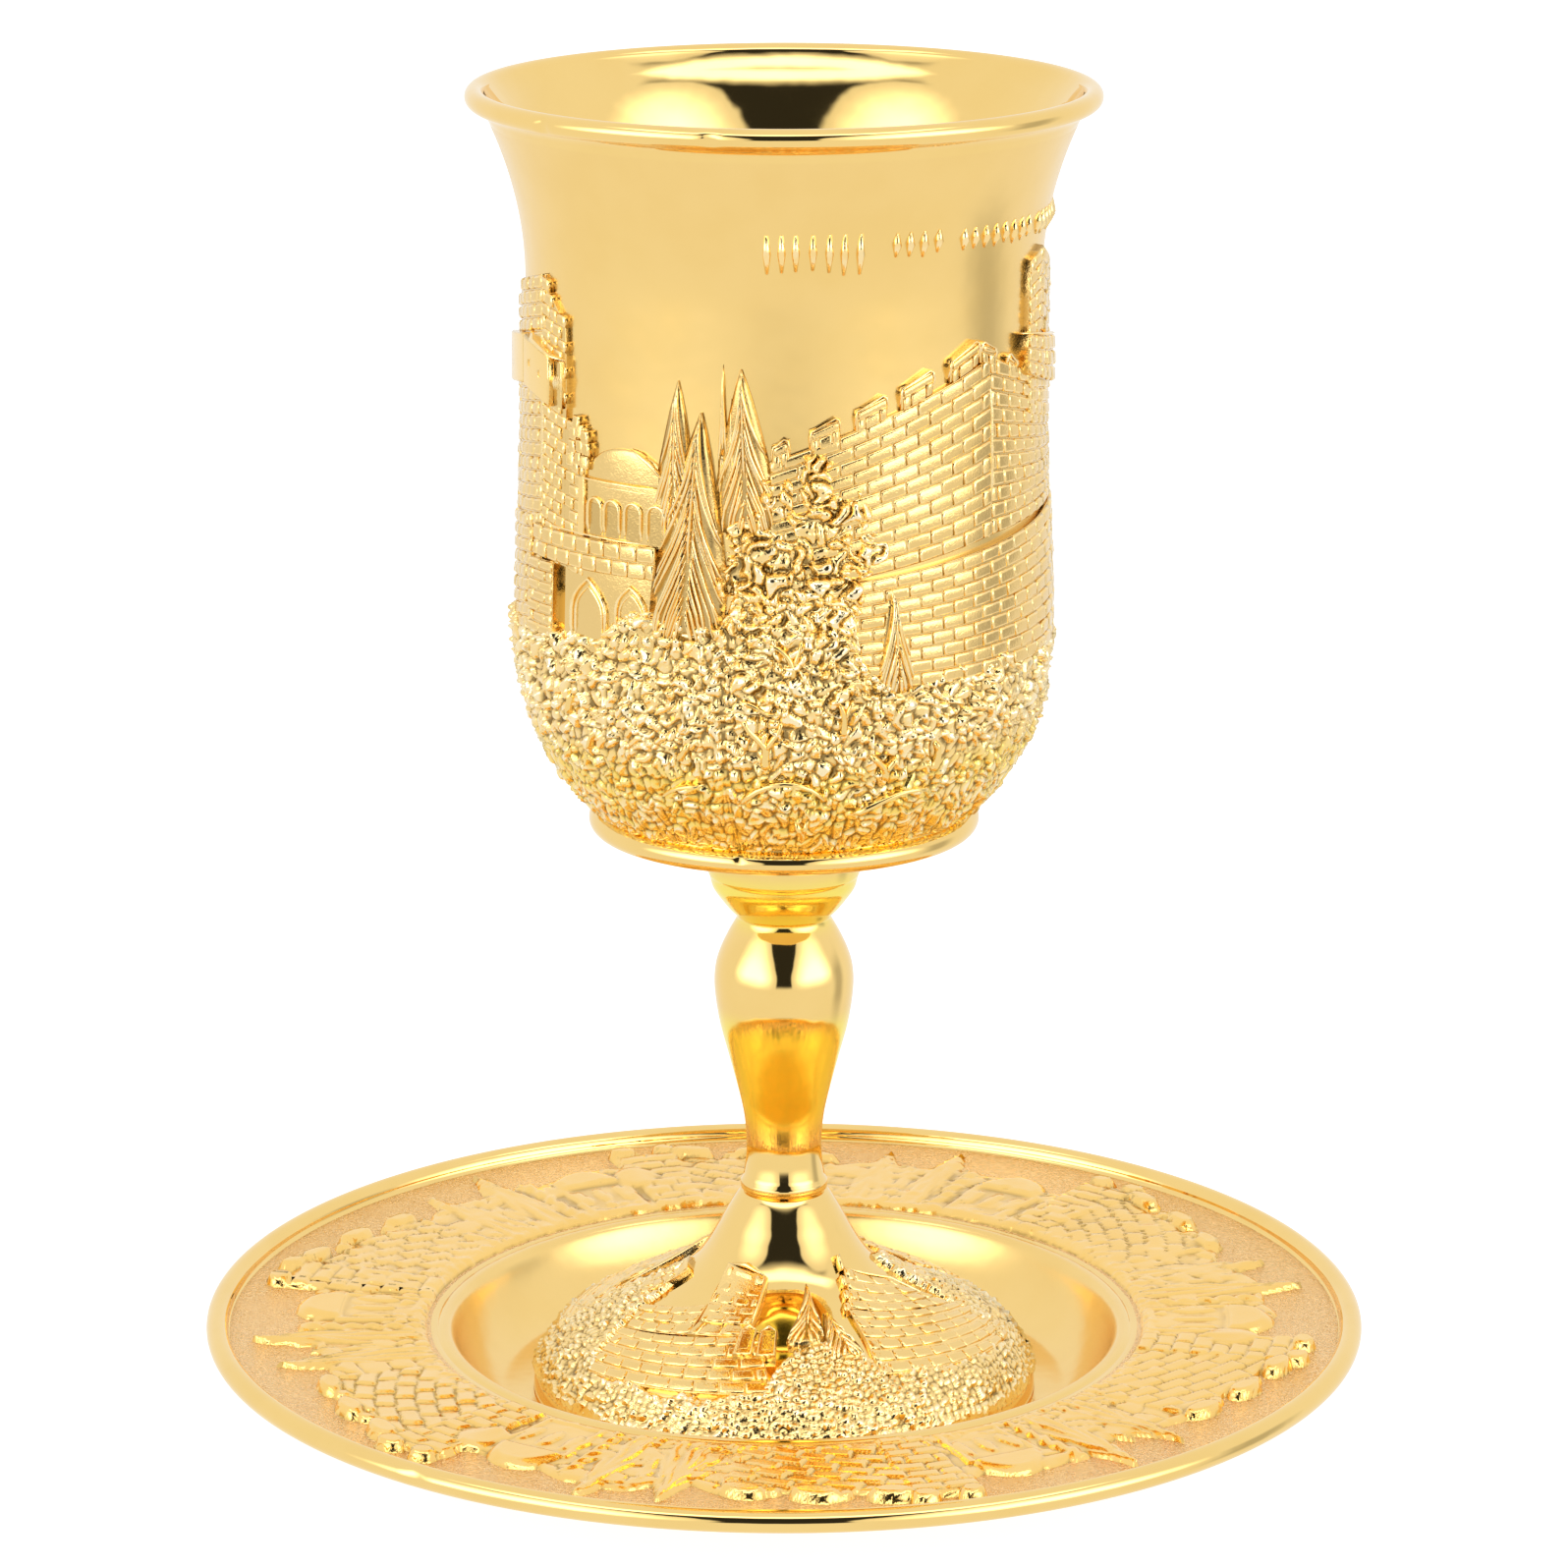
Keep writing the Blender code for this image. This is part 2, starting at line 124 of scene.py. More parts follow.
def goldFinish(name):
    look = {**plainGold, **finishes[name]}
    material = bpy.data.materials.new(name)
    start = clearTree(material)
    place = start.node("ShaderNodeTexCoord", output=3)

    def noise(size, detail, bend=0):
        return start.node("ShaderNodeTexNoise", {}, {
            "Vector": place, "Scale": 1000 / size, "Detail": detail, "Distortion": bend})

    patches = noise(wearAndPaintedLight["patch"], 3)
    clumps = noise(wearAndPaintedLight["clump"], 1, 0.6).rise(0.42, 0.6)
    stipple = noise(wearAndPaintedLight["speck"], 1, 2)
    dull = tuple(value * share for value, share in zip(look["colour"], wearAndPaintedLight["dull"]))
    colour = (patches.rise(0.35, 0.7) * 0.6).blend(look["colour"], dull)
    rough = look["rough"] + look["roughMore"] * patches.rise(0.45, 0.75) * noise(wearAndPaintedLight["speck"], 2)
    height = start.node("ShaderNodeSeparateXYZ", {}, {"Vector": place}, 2)
    for low, high in look["reflectedGoldBands"]:  # painted reflection of the gold below: a deeper yellow and a rougher finish in these bands of height
        reflectionMask = height.within(low * mm, high * mm, 2 * mm)
        reflectionMask = reflectionMask * (1 - look["recess"] * 0.9 * clumps) * (0.6 + 0.4 * patches)
        colour = reflectionMask.blend(colour, look["reflectedGoldColour"])
        rough = rough + wearAndPaintedLight["bandRough"] * reflectionMask
    if look["recess"]:  # painted shade darkens the recesses, a painted highlight pales the crests
        deep = start.node("ShaderNodeAttribute", {"attribute_name": "deep"}, output=2)
        hollow = start.math("MAXIMUM", deep, 0)
        crest = start.math("MAXIMUM", 0 - deep, 0)
        colour = (hollow * look["recess"]).blend(colour, wearAndPaintedLight["recess"])
        colour = (hollow.rise(0.5, 1) * look["recess"]).blend(colour, wearAndPaintedLight["deepest"])
        colour = (crest * look["crest"] * (0.25 + 0.75 * clumps)).blend(colour, wearAndPaintedLight["crest"])
        rough = rough + wearAndPaintedLight["recessRough"] * hollow
    if look["mottle"]:
        colour = (stipple.rise(0.46, 0.6) * look["mottle"]).blend(colour, wearAndPaintedLight["mottle"])
    swell = start.node("ShaderNodeBump", {}, {
        "Strength": look["wave"], "Distance": wearAndPaintedLight["swellDepth"] * mm, "Height": noise(wearAndPaintedLight["swell"], 1)})
    grain = start.node("ShaderNodeBump", {}, {
        "Strength": look["grain"], "Distance": look["depth"] * mm, "Height": stipple, "Normal": swell})
    shader = start.node("ShaderNodeBsdfPrincipled", {}, {
        "Base Color": colour, "Metallic": 1, "Roughness": rough, "Normal": grain})
    start.node("ShaderNodeOutputMaterial", {}, {"Surface": shader})
    return material


mirrorGold, wallGold, castGold, reliefGold, satinGold = (goldFinish(name) for name in finishes)
print("stage: finishes")


# turned pieces, from profiles of (radius, height) points

def smoothCurve(keys, pieces):
    keys = np.array(keys, float)
    padded = np.vstack([2 * keys[0] - keys[1], keys, 2 * keys[-1] - keys[-2]])
    found = [keys[0]]
    for a, b, c, d in zip(padded, padded[1:], padded[2:], padded[3:]):
        for t in np.arange(1, pieces + 1) / pieces:
            bend = (2 * a - 5 * b + 4 * c - d) * t + (3 * b - a - 3 * c + d) * t * t
            found.append(b + 0.5 * t * (c - a + bend))
    return [tuple(point) for point in found]


def arc(centre, radius, start, end, points):
    turns = np.radians(np.linspace(start, end, points))
    return [(centre[0] + radius * math.cos(turn), centre[1] + radius * math.sin(turn)) for turn in turns]


def roundAxis(turn, radius, height):
    angle = np.radians(turn)
    return np.stack([radius * np.sin(angle), -radius * np.cos(angle), height + 0 * angle], axis=-1) * mm


def makePiece(name, points, faces, material, deep=None):
    mesh = bpy.data.meshes.new(name)
    mesh.from_pydata(np.asarray(points).reshape(-1, 3).tolist(), [], faces)
    mesh.materials.append(material)
    mesh.shade_smooth()
    if deep is not None:  # painted shade, up to 1 in the recesses, and painted highlight, down to -1 on the crests
        mesh.attributes.new("deep", "FLOAT", "POINT").data.foreach_set("value", np.ravel(deep))
    piece = bpy.data.objects.new(name, mesh)
    bpy.context.scene.collection.objects.link(piece)
    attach(piece, "root")
    print("made", name, len(mesh.vertices), "points")
    return piece


def gridNumbers(rows, columns, closed=False):  # a closed grid's rows come round to their first point
    numbers = np.arange(rows * columns).reshape(rows, columns)
    return np.hstack([numbers, numbers[:, :1]]) if closed else numbers


def gridFaces(numbers):
    corners = numbers[:-1, :-1], numbers[:-1, 1:], numbers[1:, 1:], numbers[1:, :-1]
    return np.stack(corners, axis=-1).reshape(-1, 4).tolist()


def gridRim(numbers):  # the outer points of a grid, once round
    return np.concatenate([numbers[0, :-1], numbers[:-1, -1], numbers[-1, :0:-1], numbers[:0:-1, 0]]).tolist()


def joinRings(near, far):
    return list(zip(near, far, far[1:] + far[:1], near[1:] + near[:1]))


def turnedPiece(name, node, profile, columns, dents=(), bands=()):
    # the profile starts and ends on the axis; bands are pairs of a finish and its test of radius and height
    profile = np.array(profile, float)
    turns = np.arange(columns) * 360 / columns
    radii, heights = (np.repeat(line[:, None], columns, axis=1) for line in profile[1:-1].T)
    for turn, radius, height, size, depth in dents:
        apart = (turns - turn + 180) % 360 - 180
        away = np.hypot(np.hypot(apart * np.pi / 180 * radii, radii - radius), heights - height)
        radii = radii - depth * np.exp(-(away / size) ** 2)
    rings = roundAxis(turns, radii, heights).reshape(-1, 3)
    ends = np.array([[0, 0, profile[0, 1]], [0, 0, profile[-1, 1]]]) * mm
    numbers = gridNumbers(*radii.shape, closed=True)
    faces = gridFaces(numbers)
    first, last = numbers[[0, -1]].tolist()
    faces += [(len(rings), j, i) for i, j in zip(first, first[1:])]
    faces += [(len(rings) + 1, i, j) for i, j in zip(last, last[1:])]
    piece = makePiece(name, np.vstack([rings, ends]), faces, mirrorGold)
    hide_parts(node)
    middles = (profile[1:-2] + profile[2:-1]) / 2
    chosen = np.zeros(len(faces), int)
    for k, (finish, test) in enumerate(bands):
        piece.data.materials.append(finish)
        covered = np.repeat([test(radius, height) for radius, height in middles], columns)
        chosen[:-2 * columns][covered] = k + 1
    piece.data.polygons.foreach_set("material_index", chosen)


bowl = {
    "top": 168.1, "rimRadius": 38.65, "rimBead": 1.25, "waist": 31.5, "waistHeight": 145,
    "flareTop": 165.4, "flareSpread": 4.95, "wall": 1.5, "lipIn": 0.4, "lipSpread": 1.3, "columns": 384,
    "body": [(31.5, 145), (31.45, 138), (31.55, 130), (31.75, 122), (32, 114), (32.2, 108), (32.3, 101.6),
             (31.85, 96), (30.6, 90.6), (28.4, 85.2), (25.9, 81.4), (24.1, 79.4), (22.9, 78.1)],
    "inside": [(0, 79.9), (6, 80.3), (12, 81.3), (18, 83.2), (23, 86.4), (27, 91.5), (29.6, 97.5),
               (30.6, 104), (30.5, 114), (30.1, 128), (30, 140), (30, 145)],
    "flangeRadius": 24.35, "flangeBead": 1.45, "flangeHeight": 76.65, "softLow": 110, "softHigh": 163.5,
    "dents": [(-47, 38.6, 166.6, 0.9, 0.35), (-12.9, 38.6, 166.7, 0.8, 0.3), (-12.9, 24.3, 77.3, 0.35, 0.25)],
}


def flare(height):
    climb = max(0, (height - bowl["waistHeight"]) / (bowl["flareTop"] - bowl["waistHeight"]))
    return bowl["waist"] + bowl["flareSpread"] * climb ** 2


bowlOutside = [(flare(height), height) for height in np.arange(165.4, 145.4, -0.8)]
bowlOutside += smoothCurve(bowl["body"], 5)
rimCentre = (bowl["rimRadius"] - bowl["rimBead"], bowl["top"] - bowl["rimBead"])
flangeCentre = (bowl["flangeRadius"] - bowl["flangeBead"], bowl["flangeHeight"])
bowlProfile = smoothCurve(bowl["inside"], 4)
for height in np.arange(146, 165.4, 0.8):
    thicker = bowl["lipIn"] * (1 - math.exp((height - bowl["flareTop"]) / bowl["lipSpread"]))  # below the lip
    bowlProfile.append((flare(height) - bowl["wall"] - thicker, height))
bowlProfile += arc(rimCentre, bowl["rimBead"], 170, -80, 22) + bowlOutside
bowlProfile += arc(flangeCentre, bowl["flangeBead"], 75, -90, 14)
bowlProfile += [(18, 75.3), (12, 75.25), (0, 75.2)]


def softWall(radius, height):  # the plain outside between the rim and the town
    return radius > flare(height) - 0.3 and bowl["softLow"] < height < bowl["softHigh"]


turnedPiece("cupBowl", "bowl", bowlProfile, bowl["columns"], bowl["dents"], [(wallGold, softWall)])

stem = {
    "columns": 128,
    "collar": [(8.3, 74.9), (9.3, 74.7), (9.75, 73.6), (9.8, 71.6), (9.55, 69.6), (9.35, 69.1)],
    "cone": [(9.35, 69.1), (8.95, 67.6), (8.1, 66.3), (7, 64.9), (6.15, 64), (5.95, 63.6), (6.1, 63.1)],
    "bulge": [(6.1, 63.1), (6.95, 61.6), (7.9, 59.6), (8.55, 57.6), (8.78, 55.4), (8.6, 52.8), (8.05, 49.6),
              (7, 45.6), (5.95, 41.6), (5.2, 38.4), (4.86, 36), (4.75, 33.8), (4.85, 31.6), (5.15, 29.6)],
    "lip": [(5.15, 29.6), (5.4, 29.05), (5.5, 28.8), (5.5, 28.1), (5.4, 27.9)],
}
stemProfile = [(0, 74.9)]
for part, pieces in (("collar", 4), ("cone", 4), ("bulge", 5), ("lip", 3)):
    stemProfile += smoothCurve(stem[part], pieces)[0 if part == "collar" else 1:]
stemProfile += [(0, 27.9)]
turnedPiece("cupStem", "stem", stemProfile, stem["columns"])

foot = {
    "columns": 240, "spread": 32,
    "outside": [(5.5, 27.6), (6.1, 26.8), (7.4, 24.6), (8.5, 22.6), (9.9, 20.3), (11.4, 18.4), (13.4, 16.8),
                (16.4, 15.1), (20, 13.6), (24.6, 11.1), (28.2, 8.6), (30.6, 5.6), (31.7, 3.6), (32, 1.9)],
    "inside": [(30.2, 1.9), (29.6, 3.6), (27.4, 6.6), (23.5, 9.4), (18, 12), (9, 14.2), (0, 14.6)],
}
footOutside = smoothCurve(foot["outside"], 5)
footProfile = [(0, 27.6)] + footOutside + smoothCurve(foot["inside"], 3)
turnedPiece("cupFoot", "foot", footProfile, foot["columns"])

saucer = {
    "columns": 400, "radius": 73.4, "bead": 1.4, "beadHeight": 11.3, "rimInner": 44, "rimOuter": 70.6,
    "rimHeight": 9.9, "rimRise": 0.8, "sheet": 1.5, "satinLow": 45.2, "satinHigh": 70.5, "softHigh": 43.5,
    "well": [(35, 1.6), (36.2, 1.75), (37.6, 2.5), (39, 3.8), (40.3, 5.6), (41.3, 7.5), (41.9, 9),
             (42.3, 9.75), (42.8, 10.12), (43.4, 10.15)],
    "lip": [(43.4, 10.15), (43.9, 10.05), (44.2, 9.85), (44.45, 9.92)],
    "dents": [(-36.5, 73.2, 11.6, 0.9, 0.45)],
}


def rimTop(radius):
    share = (radius - saucer["rimInner"]) / (saucer["rimOuter"] - saucer["rimInner"])
    return saucer["rimHeight"] + saucer["rimRise"] * share


beadCentre = (saucer["radius"] - saucer["bead"], saucer["beadHeight"])
saucerProfile = [(0, 1.6), (12, 1.6), (24, 1.6), (31, 1.6)]
saucerProfile += smoothCurve(saucer["well"], 3) + smoothCurve(saucer["lip"], 2)[1:]
saucerProfile += [(radius, rimTop(radius)) for radius in np.arange(45, 70.4, 0.8)]
saucerProfile += [(70.45, rimTop(70.45)), (70.6, rimTop(70.6) - 0.1)]
saucerProfile += arc(beadCentre, saucer["bead"], 172, -100, 22)
saucerProfile += [(radius, rimTop(radius) - saucer["sheet"]) for radius in (70.5, 66, 60, 54, 49, 45.6)]
saucerProfile += smoothCurve([(45, 8.43), (43.4, 7.2), (41.6, 4.8), (39.6, 1.9), (37.6, 0.35), (36.6, 0)], 3)
saucerProfile += [(30, 0), (0, 0)]
turnedPiece("saucerDish", "saucer", saucerProfile, saucer["columns"], saucer["dents"], [
    (satinGold, lambda radius, height: saucer["satinLow"] < radius < saucer["satinHigh"] and height > 9.5),
    (wallGold, lambda radius, height: radius < saucer["softHigh"] and height > 1.5)])
print("stage: turned pieces")


# carved grounds and the forms laid on them

class Ground:
    # a turned surface in (turn, climb, lift): turn in degrees from the front, positive to the
    # viewer's right, climb up the picture in mm, lift straight off the surface in mm
    def __init__(self, climbs, radii, heights, facing=1):
        self.facing = facing
        order = np.argsort(climbs)
        self.climbs = np.linspace(min(climbs), max(climbs), 500)
        self.radii = np.interp(self.climbs, np.array(climbs)[order], np.array(radii)[order])
        self.heights = np.interp(self.climbs, np.array(climbs)[order], np.array(heights)[order])
        across = np.gradient(self.radii, self.climbs)
        up = np.gradient(self.heights, self.climbs)
        length = np.hypot(across, up) * facing
        self.outward = up / length
        self.upward = -across / length

    def place(self, form):
        turn, climb, lift = np.moveaxis(np.asarray(form, float), -1, 0)
        lines = (self.radii, self.heights, self.outward, self.upward)
        radius, height, outward, upward = (np.interp(climb, self.climbs, line) for line in lines)
        return roundAxis(turn, radius + lift * outward, height + lift * upward)

    def perDegree(self, climb):
        return np.interp(climb, self.climbs, self.radii) * math.pi / 180


def scatter(*keys):  # a fixed number from 0 to 1 for each place
    value = 0
    for key, share in zip(keys, (12.9898, 78.233, 37.719)):
        value = value + np.asarray(key, float) * share
    value = np.sin(value) * 43758.5453
    return value - np.floor(value)


def onQuad(corners, u, v):  # corners: low left, low right, high right, high left
    a, b, c, d = (np.array(corner, float) for corner in corners)
    return (a * (1 - u) + b * u) * (1 - v) + (d * (1 - u) + c * u) * v


def upright(t0, t1, low0, low1, high0, high1):  # a quad between two turns, with its climbs at each
    return [(t0, low0), (t1, low1), (t1, high1), (t0, high0)]


def partQuad(corners, u0, v0, u1, v1):
    return [onQuad(corners, u, v) for u, v in ((u0, v0), (u1, v0), (u1, v1), (u0, v1))]


class Carving:
    sink = 0.6  # how far every form reaches into its ground, in mm

    def __init__(self, name, ground, material=castGold, deepest=0.65):
        self.name = name
        self.ground = ground
        self.material = material
        self.deepest = deepest  # how strong the painted shade in its recesses and the painted highlight on its crests become
        self.points = []
        self.faces = []
        self.deep = []

    def add(self, points, faces, deep):
        first = len(self.points)
        self.points += points
        self.deep += [self.deepest * value for value in deep]
        self.faces += [tuple(first + i for i in face) for face in faces]

    def finish(self, smooth=False):
        piece = makePiece(self.name, self.ground.place(self.points), self.faces, self.material, self.deep)
        shape = bmesh.new()
        shape.from_mesh(piece.data)
        bmesh.ops.remove_doubles(shape, verts=shape.verts[:], dist=1e-7)
        shape.to_mesh(piece.data)
        shape.free()
        if not smooth:
            piece.modifiers.new("shine", "WEIGHTED_NORMAL").weight = 60

    def size(self, corners):  # width and height of a quad in mm
        a, b, c, d = (np.array(corner, float) for corner in corners)
        scale = np.array([self.ground.perDegree((a[1] + c[1]) / 2), 1])
        width = (np.hypot(*((b - a) * scale)) + np.hypot(*((c - d) * scale))) / 2
        height = (np.hypot(*((d - a) * scale)) + np.hypot(*((c - b) * scale))) / 2
        return width, height

    def slab(self, corners, lift, edge, step=3, deep=0):
        # a slab over a quad, its edges bevelled and its sides sunk, in cells no wider than step mm
        width, height = self.size(corners)
        n = max(1, math.ceil(width / step))
        m = max(1, math.ceil(height / (2 * step)))
        du = min(edge / width, 0.3)
        dv = min(edge / height, 0.3)
        points = [(*onQuad(corners, du + (1 - 2 * du) * i / n, dv + (1 - 2 * dv) * j / m), lift)
                  for j in range(m + 1) for i in range(n + 1)]
        deeps = [deep] * len(points)
        numbers = gridNumbers(m + 1, n + 1)
        faces = gridFaces(numbers)
        near = gridRim(numbers)
        rim = [onQuad(corners, k % (n + 1) / n, k // (n + 1) / m) for k in near]
        # painted shade down its bevel and in full at its sunk foot
        for low, shade in ((lift - edge * 0.8, 0.3), (-self.sink, 1)):
            far = list(range(len(points), len(points) + len(rim)))
            faces += joinRings(near, far)
            points += [(*spot, low) for spot in rim]
            deeps += [shade] * len(rim)
            near = far
        self.add(points, faces, deeps)

    def bricks(self, corners, courses, length, lift, joint, edge, seed=0, keep=None):
        # running bond over a quad; keep(turn, climb) says which bricks are there
        height = self.size(corners)[1]
        for k in range(courses):
            width = self.size(partQuad(corners, 0, k / courses, 1, (k + 1) / courses))[0]
            count = max(1, round(width / length))
            joints = [i / count for i in range(count + 1)]
            if (k + seed) % 2:
                joints = [0] + [(i + 0.5) / count for i in range(count)] + [1]
            gapU = joint / 2 / width
            gapV = joint / 2 / height
            for i, (left, right) in enumerate(zip(joints, joints[1:])):
                wander = [scatter(*place, seed) - 0.5 for place in ((k, i), (k + 40, i), (k, i + 40))]
                u0 = left + gapU * (1 + 0.25 * wander[0])
                u1 = right - gapU * (1 - 0.4 * wander[1])
                v0 = k / courses + gapV * (1 + 0.3 * wander[1])
                v1 = (k + 1) / courses - gapV * (1 + 0.3 * wander[2])
                own = partQuad(corners, u0, v0, u1, v1)
                if u1 - u0 >= 0.3 / width and (keep is None or keep(*(sum(own) / 4))):
                    self.brick(own, lift + 0.1 * wander[2], edge, wander)

    def brick(self, corners, lift, edge, wander, rough=1):
        # one brick with worn edges; its face and sides carry painted shade, its bevel a painted highlight;
        # wander leans its face
        width, height = self.size(corners)
        points = []
        for inset, low in ((edge, 0), (edge * 0.35, edge * 0.28), (0, edge * 0.95), (0, None)):
            du = min(inset / width, 0.4)
            dv = min(inset / height, 0.4)
            for u, v in ((du, dv), (1 - du, dv), (1 - du, 1 - dv), (du, 1 - dv)):
                lean = 0.13 * rough * (wander[0] * (2 * u - 1) + (wander[1] - 0.2) * (2 * v - 1))
                points.append((*onQuad(corners, u, v), -self.sink if low is None else lift - low + lean))
        rings = gridNumbers(4, 4).tolist()
        faces = [rings[0], rings[3][::-1]]
        for near, far in zip(rings, rings[1:]):
            faces += joinRings(near, far)
        self.add(points, faces, [0.3] * 4 + [-0.6] * 4 + [0.5] * 4 + [1] * 4)

    def ridge(self, path, width, lift, base=None):
        # a rounded strip along a path of (turn, climb); width and lift may change along it
        path = np.array(path, float)
        count = len(path)
        base = -self.sink if base is None else base
        scale = np.stack([self.ground.perDegree(path[:, 1]), np.ones(count)], axis=1)
        along = np.gradient(path, axis=0) * scale
        along /= np.maximum(np.hypot(*along.T), 1e-9)[:, None]
        aside = np.stack([along[:, 1], -along[:, 0]], axis=1) / scale
        sides = np.array([-1, -0.72, 0, 0.72, 1])
        rise = np.where(abs(sides) < 1, np.sqrt(1 - 0.75 * sides * sides), 0)
        tips = np.ones((count, 2))
        tips[[0, -1]] = (0.45, 0.55)  # the ends are narrower and lower
        half = np.asarray(width) / 2 * tips[:, 0]
        high = (np.asarray(lift) - base) * tips[:, 1]
        spots = path[:, None] + aside[:, None] * sides[:, None] * half[:, None, None]
        points = np.dstack([spots, base + high[:, None] * rise]).reshape(-1, 3).tolist()
        numbers = gridNumbers(count, len(sides), closed=True)
        faces = gridFaces(numbers) + [numbers[0, -2::-1].tolist(), numbers[-1, :-1].tolist()]
        # painted shade at its feet, a painted highlight along its rounded top
        self.add(points, faces, [1, -0.7, -0.7, -0.7, 1] * count)

    def sheet(self, points, rows, columns, deep=0):
        # closes an open grid of points with a skirt sunk in the ground
        numbers = gridNumbers(rows, columns)
        rim = gridRim(numbers)
        sunk = list(range(len(points), len(points) + len(rim)))
        skirt = [(points[k][0], points[k][1], -self.sink) for k in rim]
        # the grid carries painted shade of the given strength, the skirt full painted shade
        self.add(points + skirt, gridFaces(numbers) + joinRings(rim, sunk),
                 [deep] * len(points) + [1] * len(rim))

    def mound(self, middle, foot, half, rise, lift, rows, columns, power, deep=0):
        # half a dome standing on its flat foot
        points = []
        for r in range(rows + 1):
            turnUp = math.pi / 2 * r / rows
            for c in range(columns + 1):
                across = -math.cos(math.pi * c / columns) * math.cos(turnUp)
                up = math.sin(turnUp)
                body = max(0, 1 - across * across - up * up) ** power
                points.append((middle + half * across, foot + rise * up, lift * (0.25 + 0.75 * body)))
        self.sheet(points, rows + 1, columns + 1, deep)


def lumps(x, y, size, around=0, seed=0):
    # nearest and second nearest of scattered seeds, in seed spacings, and each lump's own number
    i = np.floor(x / size)
    j = np.floor(y / size)
    near = np.full(x.shape, 9)
    after = np.full(x.shape, 9)
    own = np.zeros(x.shape)
    for di in (-1, 0, 1):
        for dj in (-1, 0, 1):
            ci = i + di
            cj = j + dj
            key = np.mod(ci, around) if around else ci
            px = ci + 0.5 + 0.8 * (scatter(key, cj, seed) - 0.5)
            py = cj + 0.5 + 0.8 * (scatter(key + 17, cj + 5, seed) - 0.5)
            apart = np.hypot(px - x / size, py - y / size)
            closer = apart < near
            after = np.where(closer, near, np.minimum(after, apart))
            own = np.where(closer, scatter(key + 3, cj + 9, seed), own)
            near = np.where(closer, apart, near)
    return near, after, own


def nuggets(x, y, size, around=0, seed=0, gap=0.45, uneven=0.45):
    near, after, own = lumps(x, y, size, around, seed)
    crease = np.clip((after - near) / gap, 0, 1)
    crease = np.sqrt(crease * (2 - crease))
    return crease * (1 - 0.9 * near * near) * (1 - uneven * own)


def waves(x, y, size, around=0, seed=0):  # soft swell from 0 to 1
    i = np.floor(x / size)
    j = np.floor(y / size)
    u = x / size - i
    v = y / size - j
    u = u * u * (3 - 2 * u)
    v = v * v * (3 - 2 * v)

    def corner(di, dj):
        key = np.mod(i + di, around) if around else i + di
        return scatter(key, j + dj, seed)

    low = corner(0, 0) * (1 - u) + corner(1, 0) * u
    high = corner(0, 1) * (1 - u) + corner(1, 1) * u
    return low * (1 - v) + high * v


def stepsBetween(start, end, size):
    return np.linspace(start, end, max(2, math.ceil(abs(end - start) / size) + 1))


def spread(name, ground, turns, climbs, lift, hollow=0.13, material=castGold):
    # a sheet of fine cells, turns and climbs being (start, end, cell size); where its lift is less than
    # round about it gets painted shade, in full by hollow mm or more, and where more, a painted highlight
    turn, climb = np.meshgrid(stepsBetween(*turns), np.concatenate([stepsBetween(*part) for part in climbs]))
    high = lift(turn, climb)
    soft = high
    for reach in (1, 2, 3):
        wide = np.pad(soft, reach, mode="edge")
        inner = slice(reach, -reach)
        soft = (wide[inner, 2 * reach:] + wide[inner, :-2 * reach] + wide[2 * reach:, inner]
                + wide[:-2 * reach, inner]) / 4
    deep = np.clip((soft - high) / hollow, -1, 1)
    deep = np.where(deep > 0, np.maximum(deep - 0.25, 0), np.minimum(deep + 0.1, 0))
    form = np.stack([turn, climb, high], axis=-1)
    numbers = gridNumbers(*turn.shape)
    faces = gridFaces(numbers if ground.facing > 0 else numbers[:, ::-1])
    makePiece(name, ground.place(form), faces, material, deep)


cypress = {
    "outline": ((0, 0.8), (0.12, 1), (0.3, 0.93), (0.55, 0.66), (0.8, 0.34), (0.93, 0.15), (1, 0.03)),
    "strandWidths": np.array([0.4, 0.8, 1.1, 1.3, 1.35, 1.25, 1, 0.4]), "leastWidth": 0.32,
    "strandLifts": np.array([0.95, 1, 1, 0.97, 0.92, 0.86, 0.78, 0.6]),
    "spineWidths": np.array([0.35, 0.5, 0.55, 0.5, 0.45, 0.4, 0.25]),
    "spineLifts": np.array([0.9, 1.05, 1.05, 1, 0.95, 0.85, 0.5]),
}


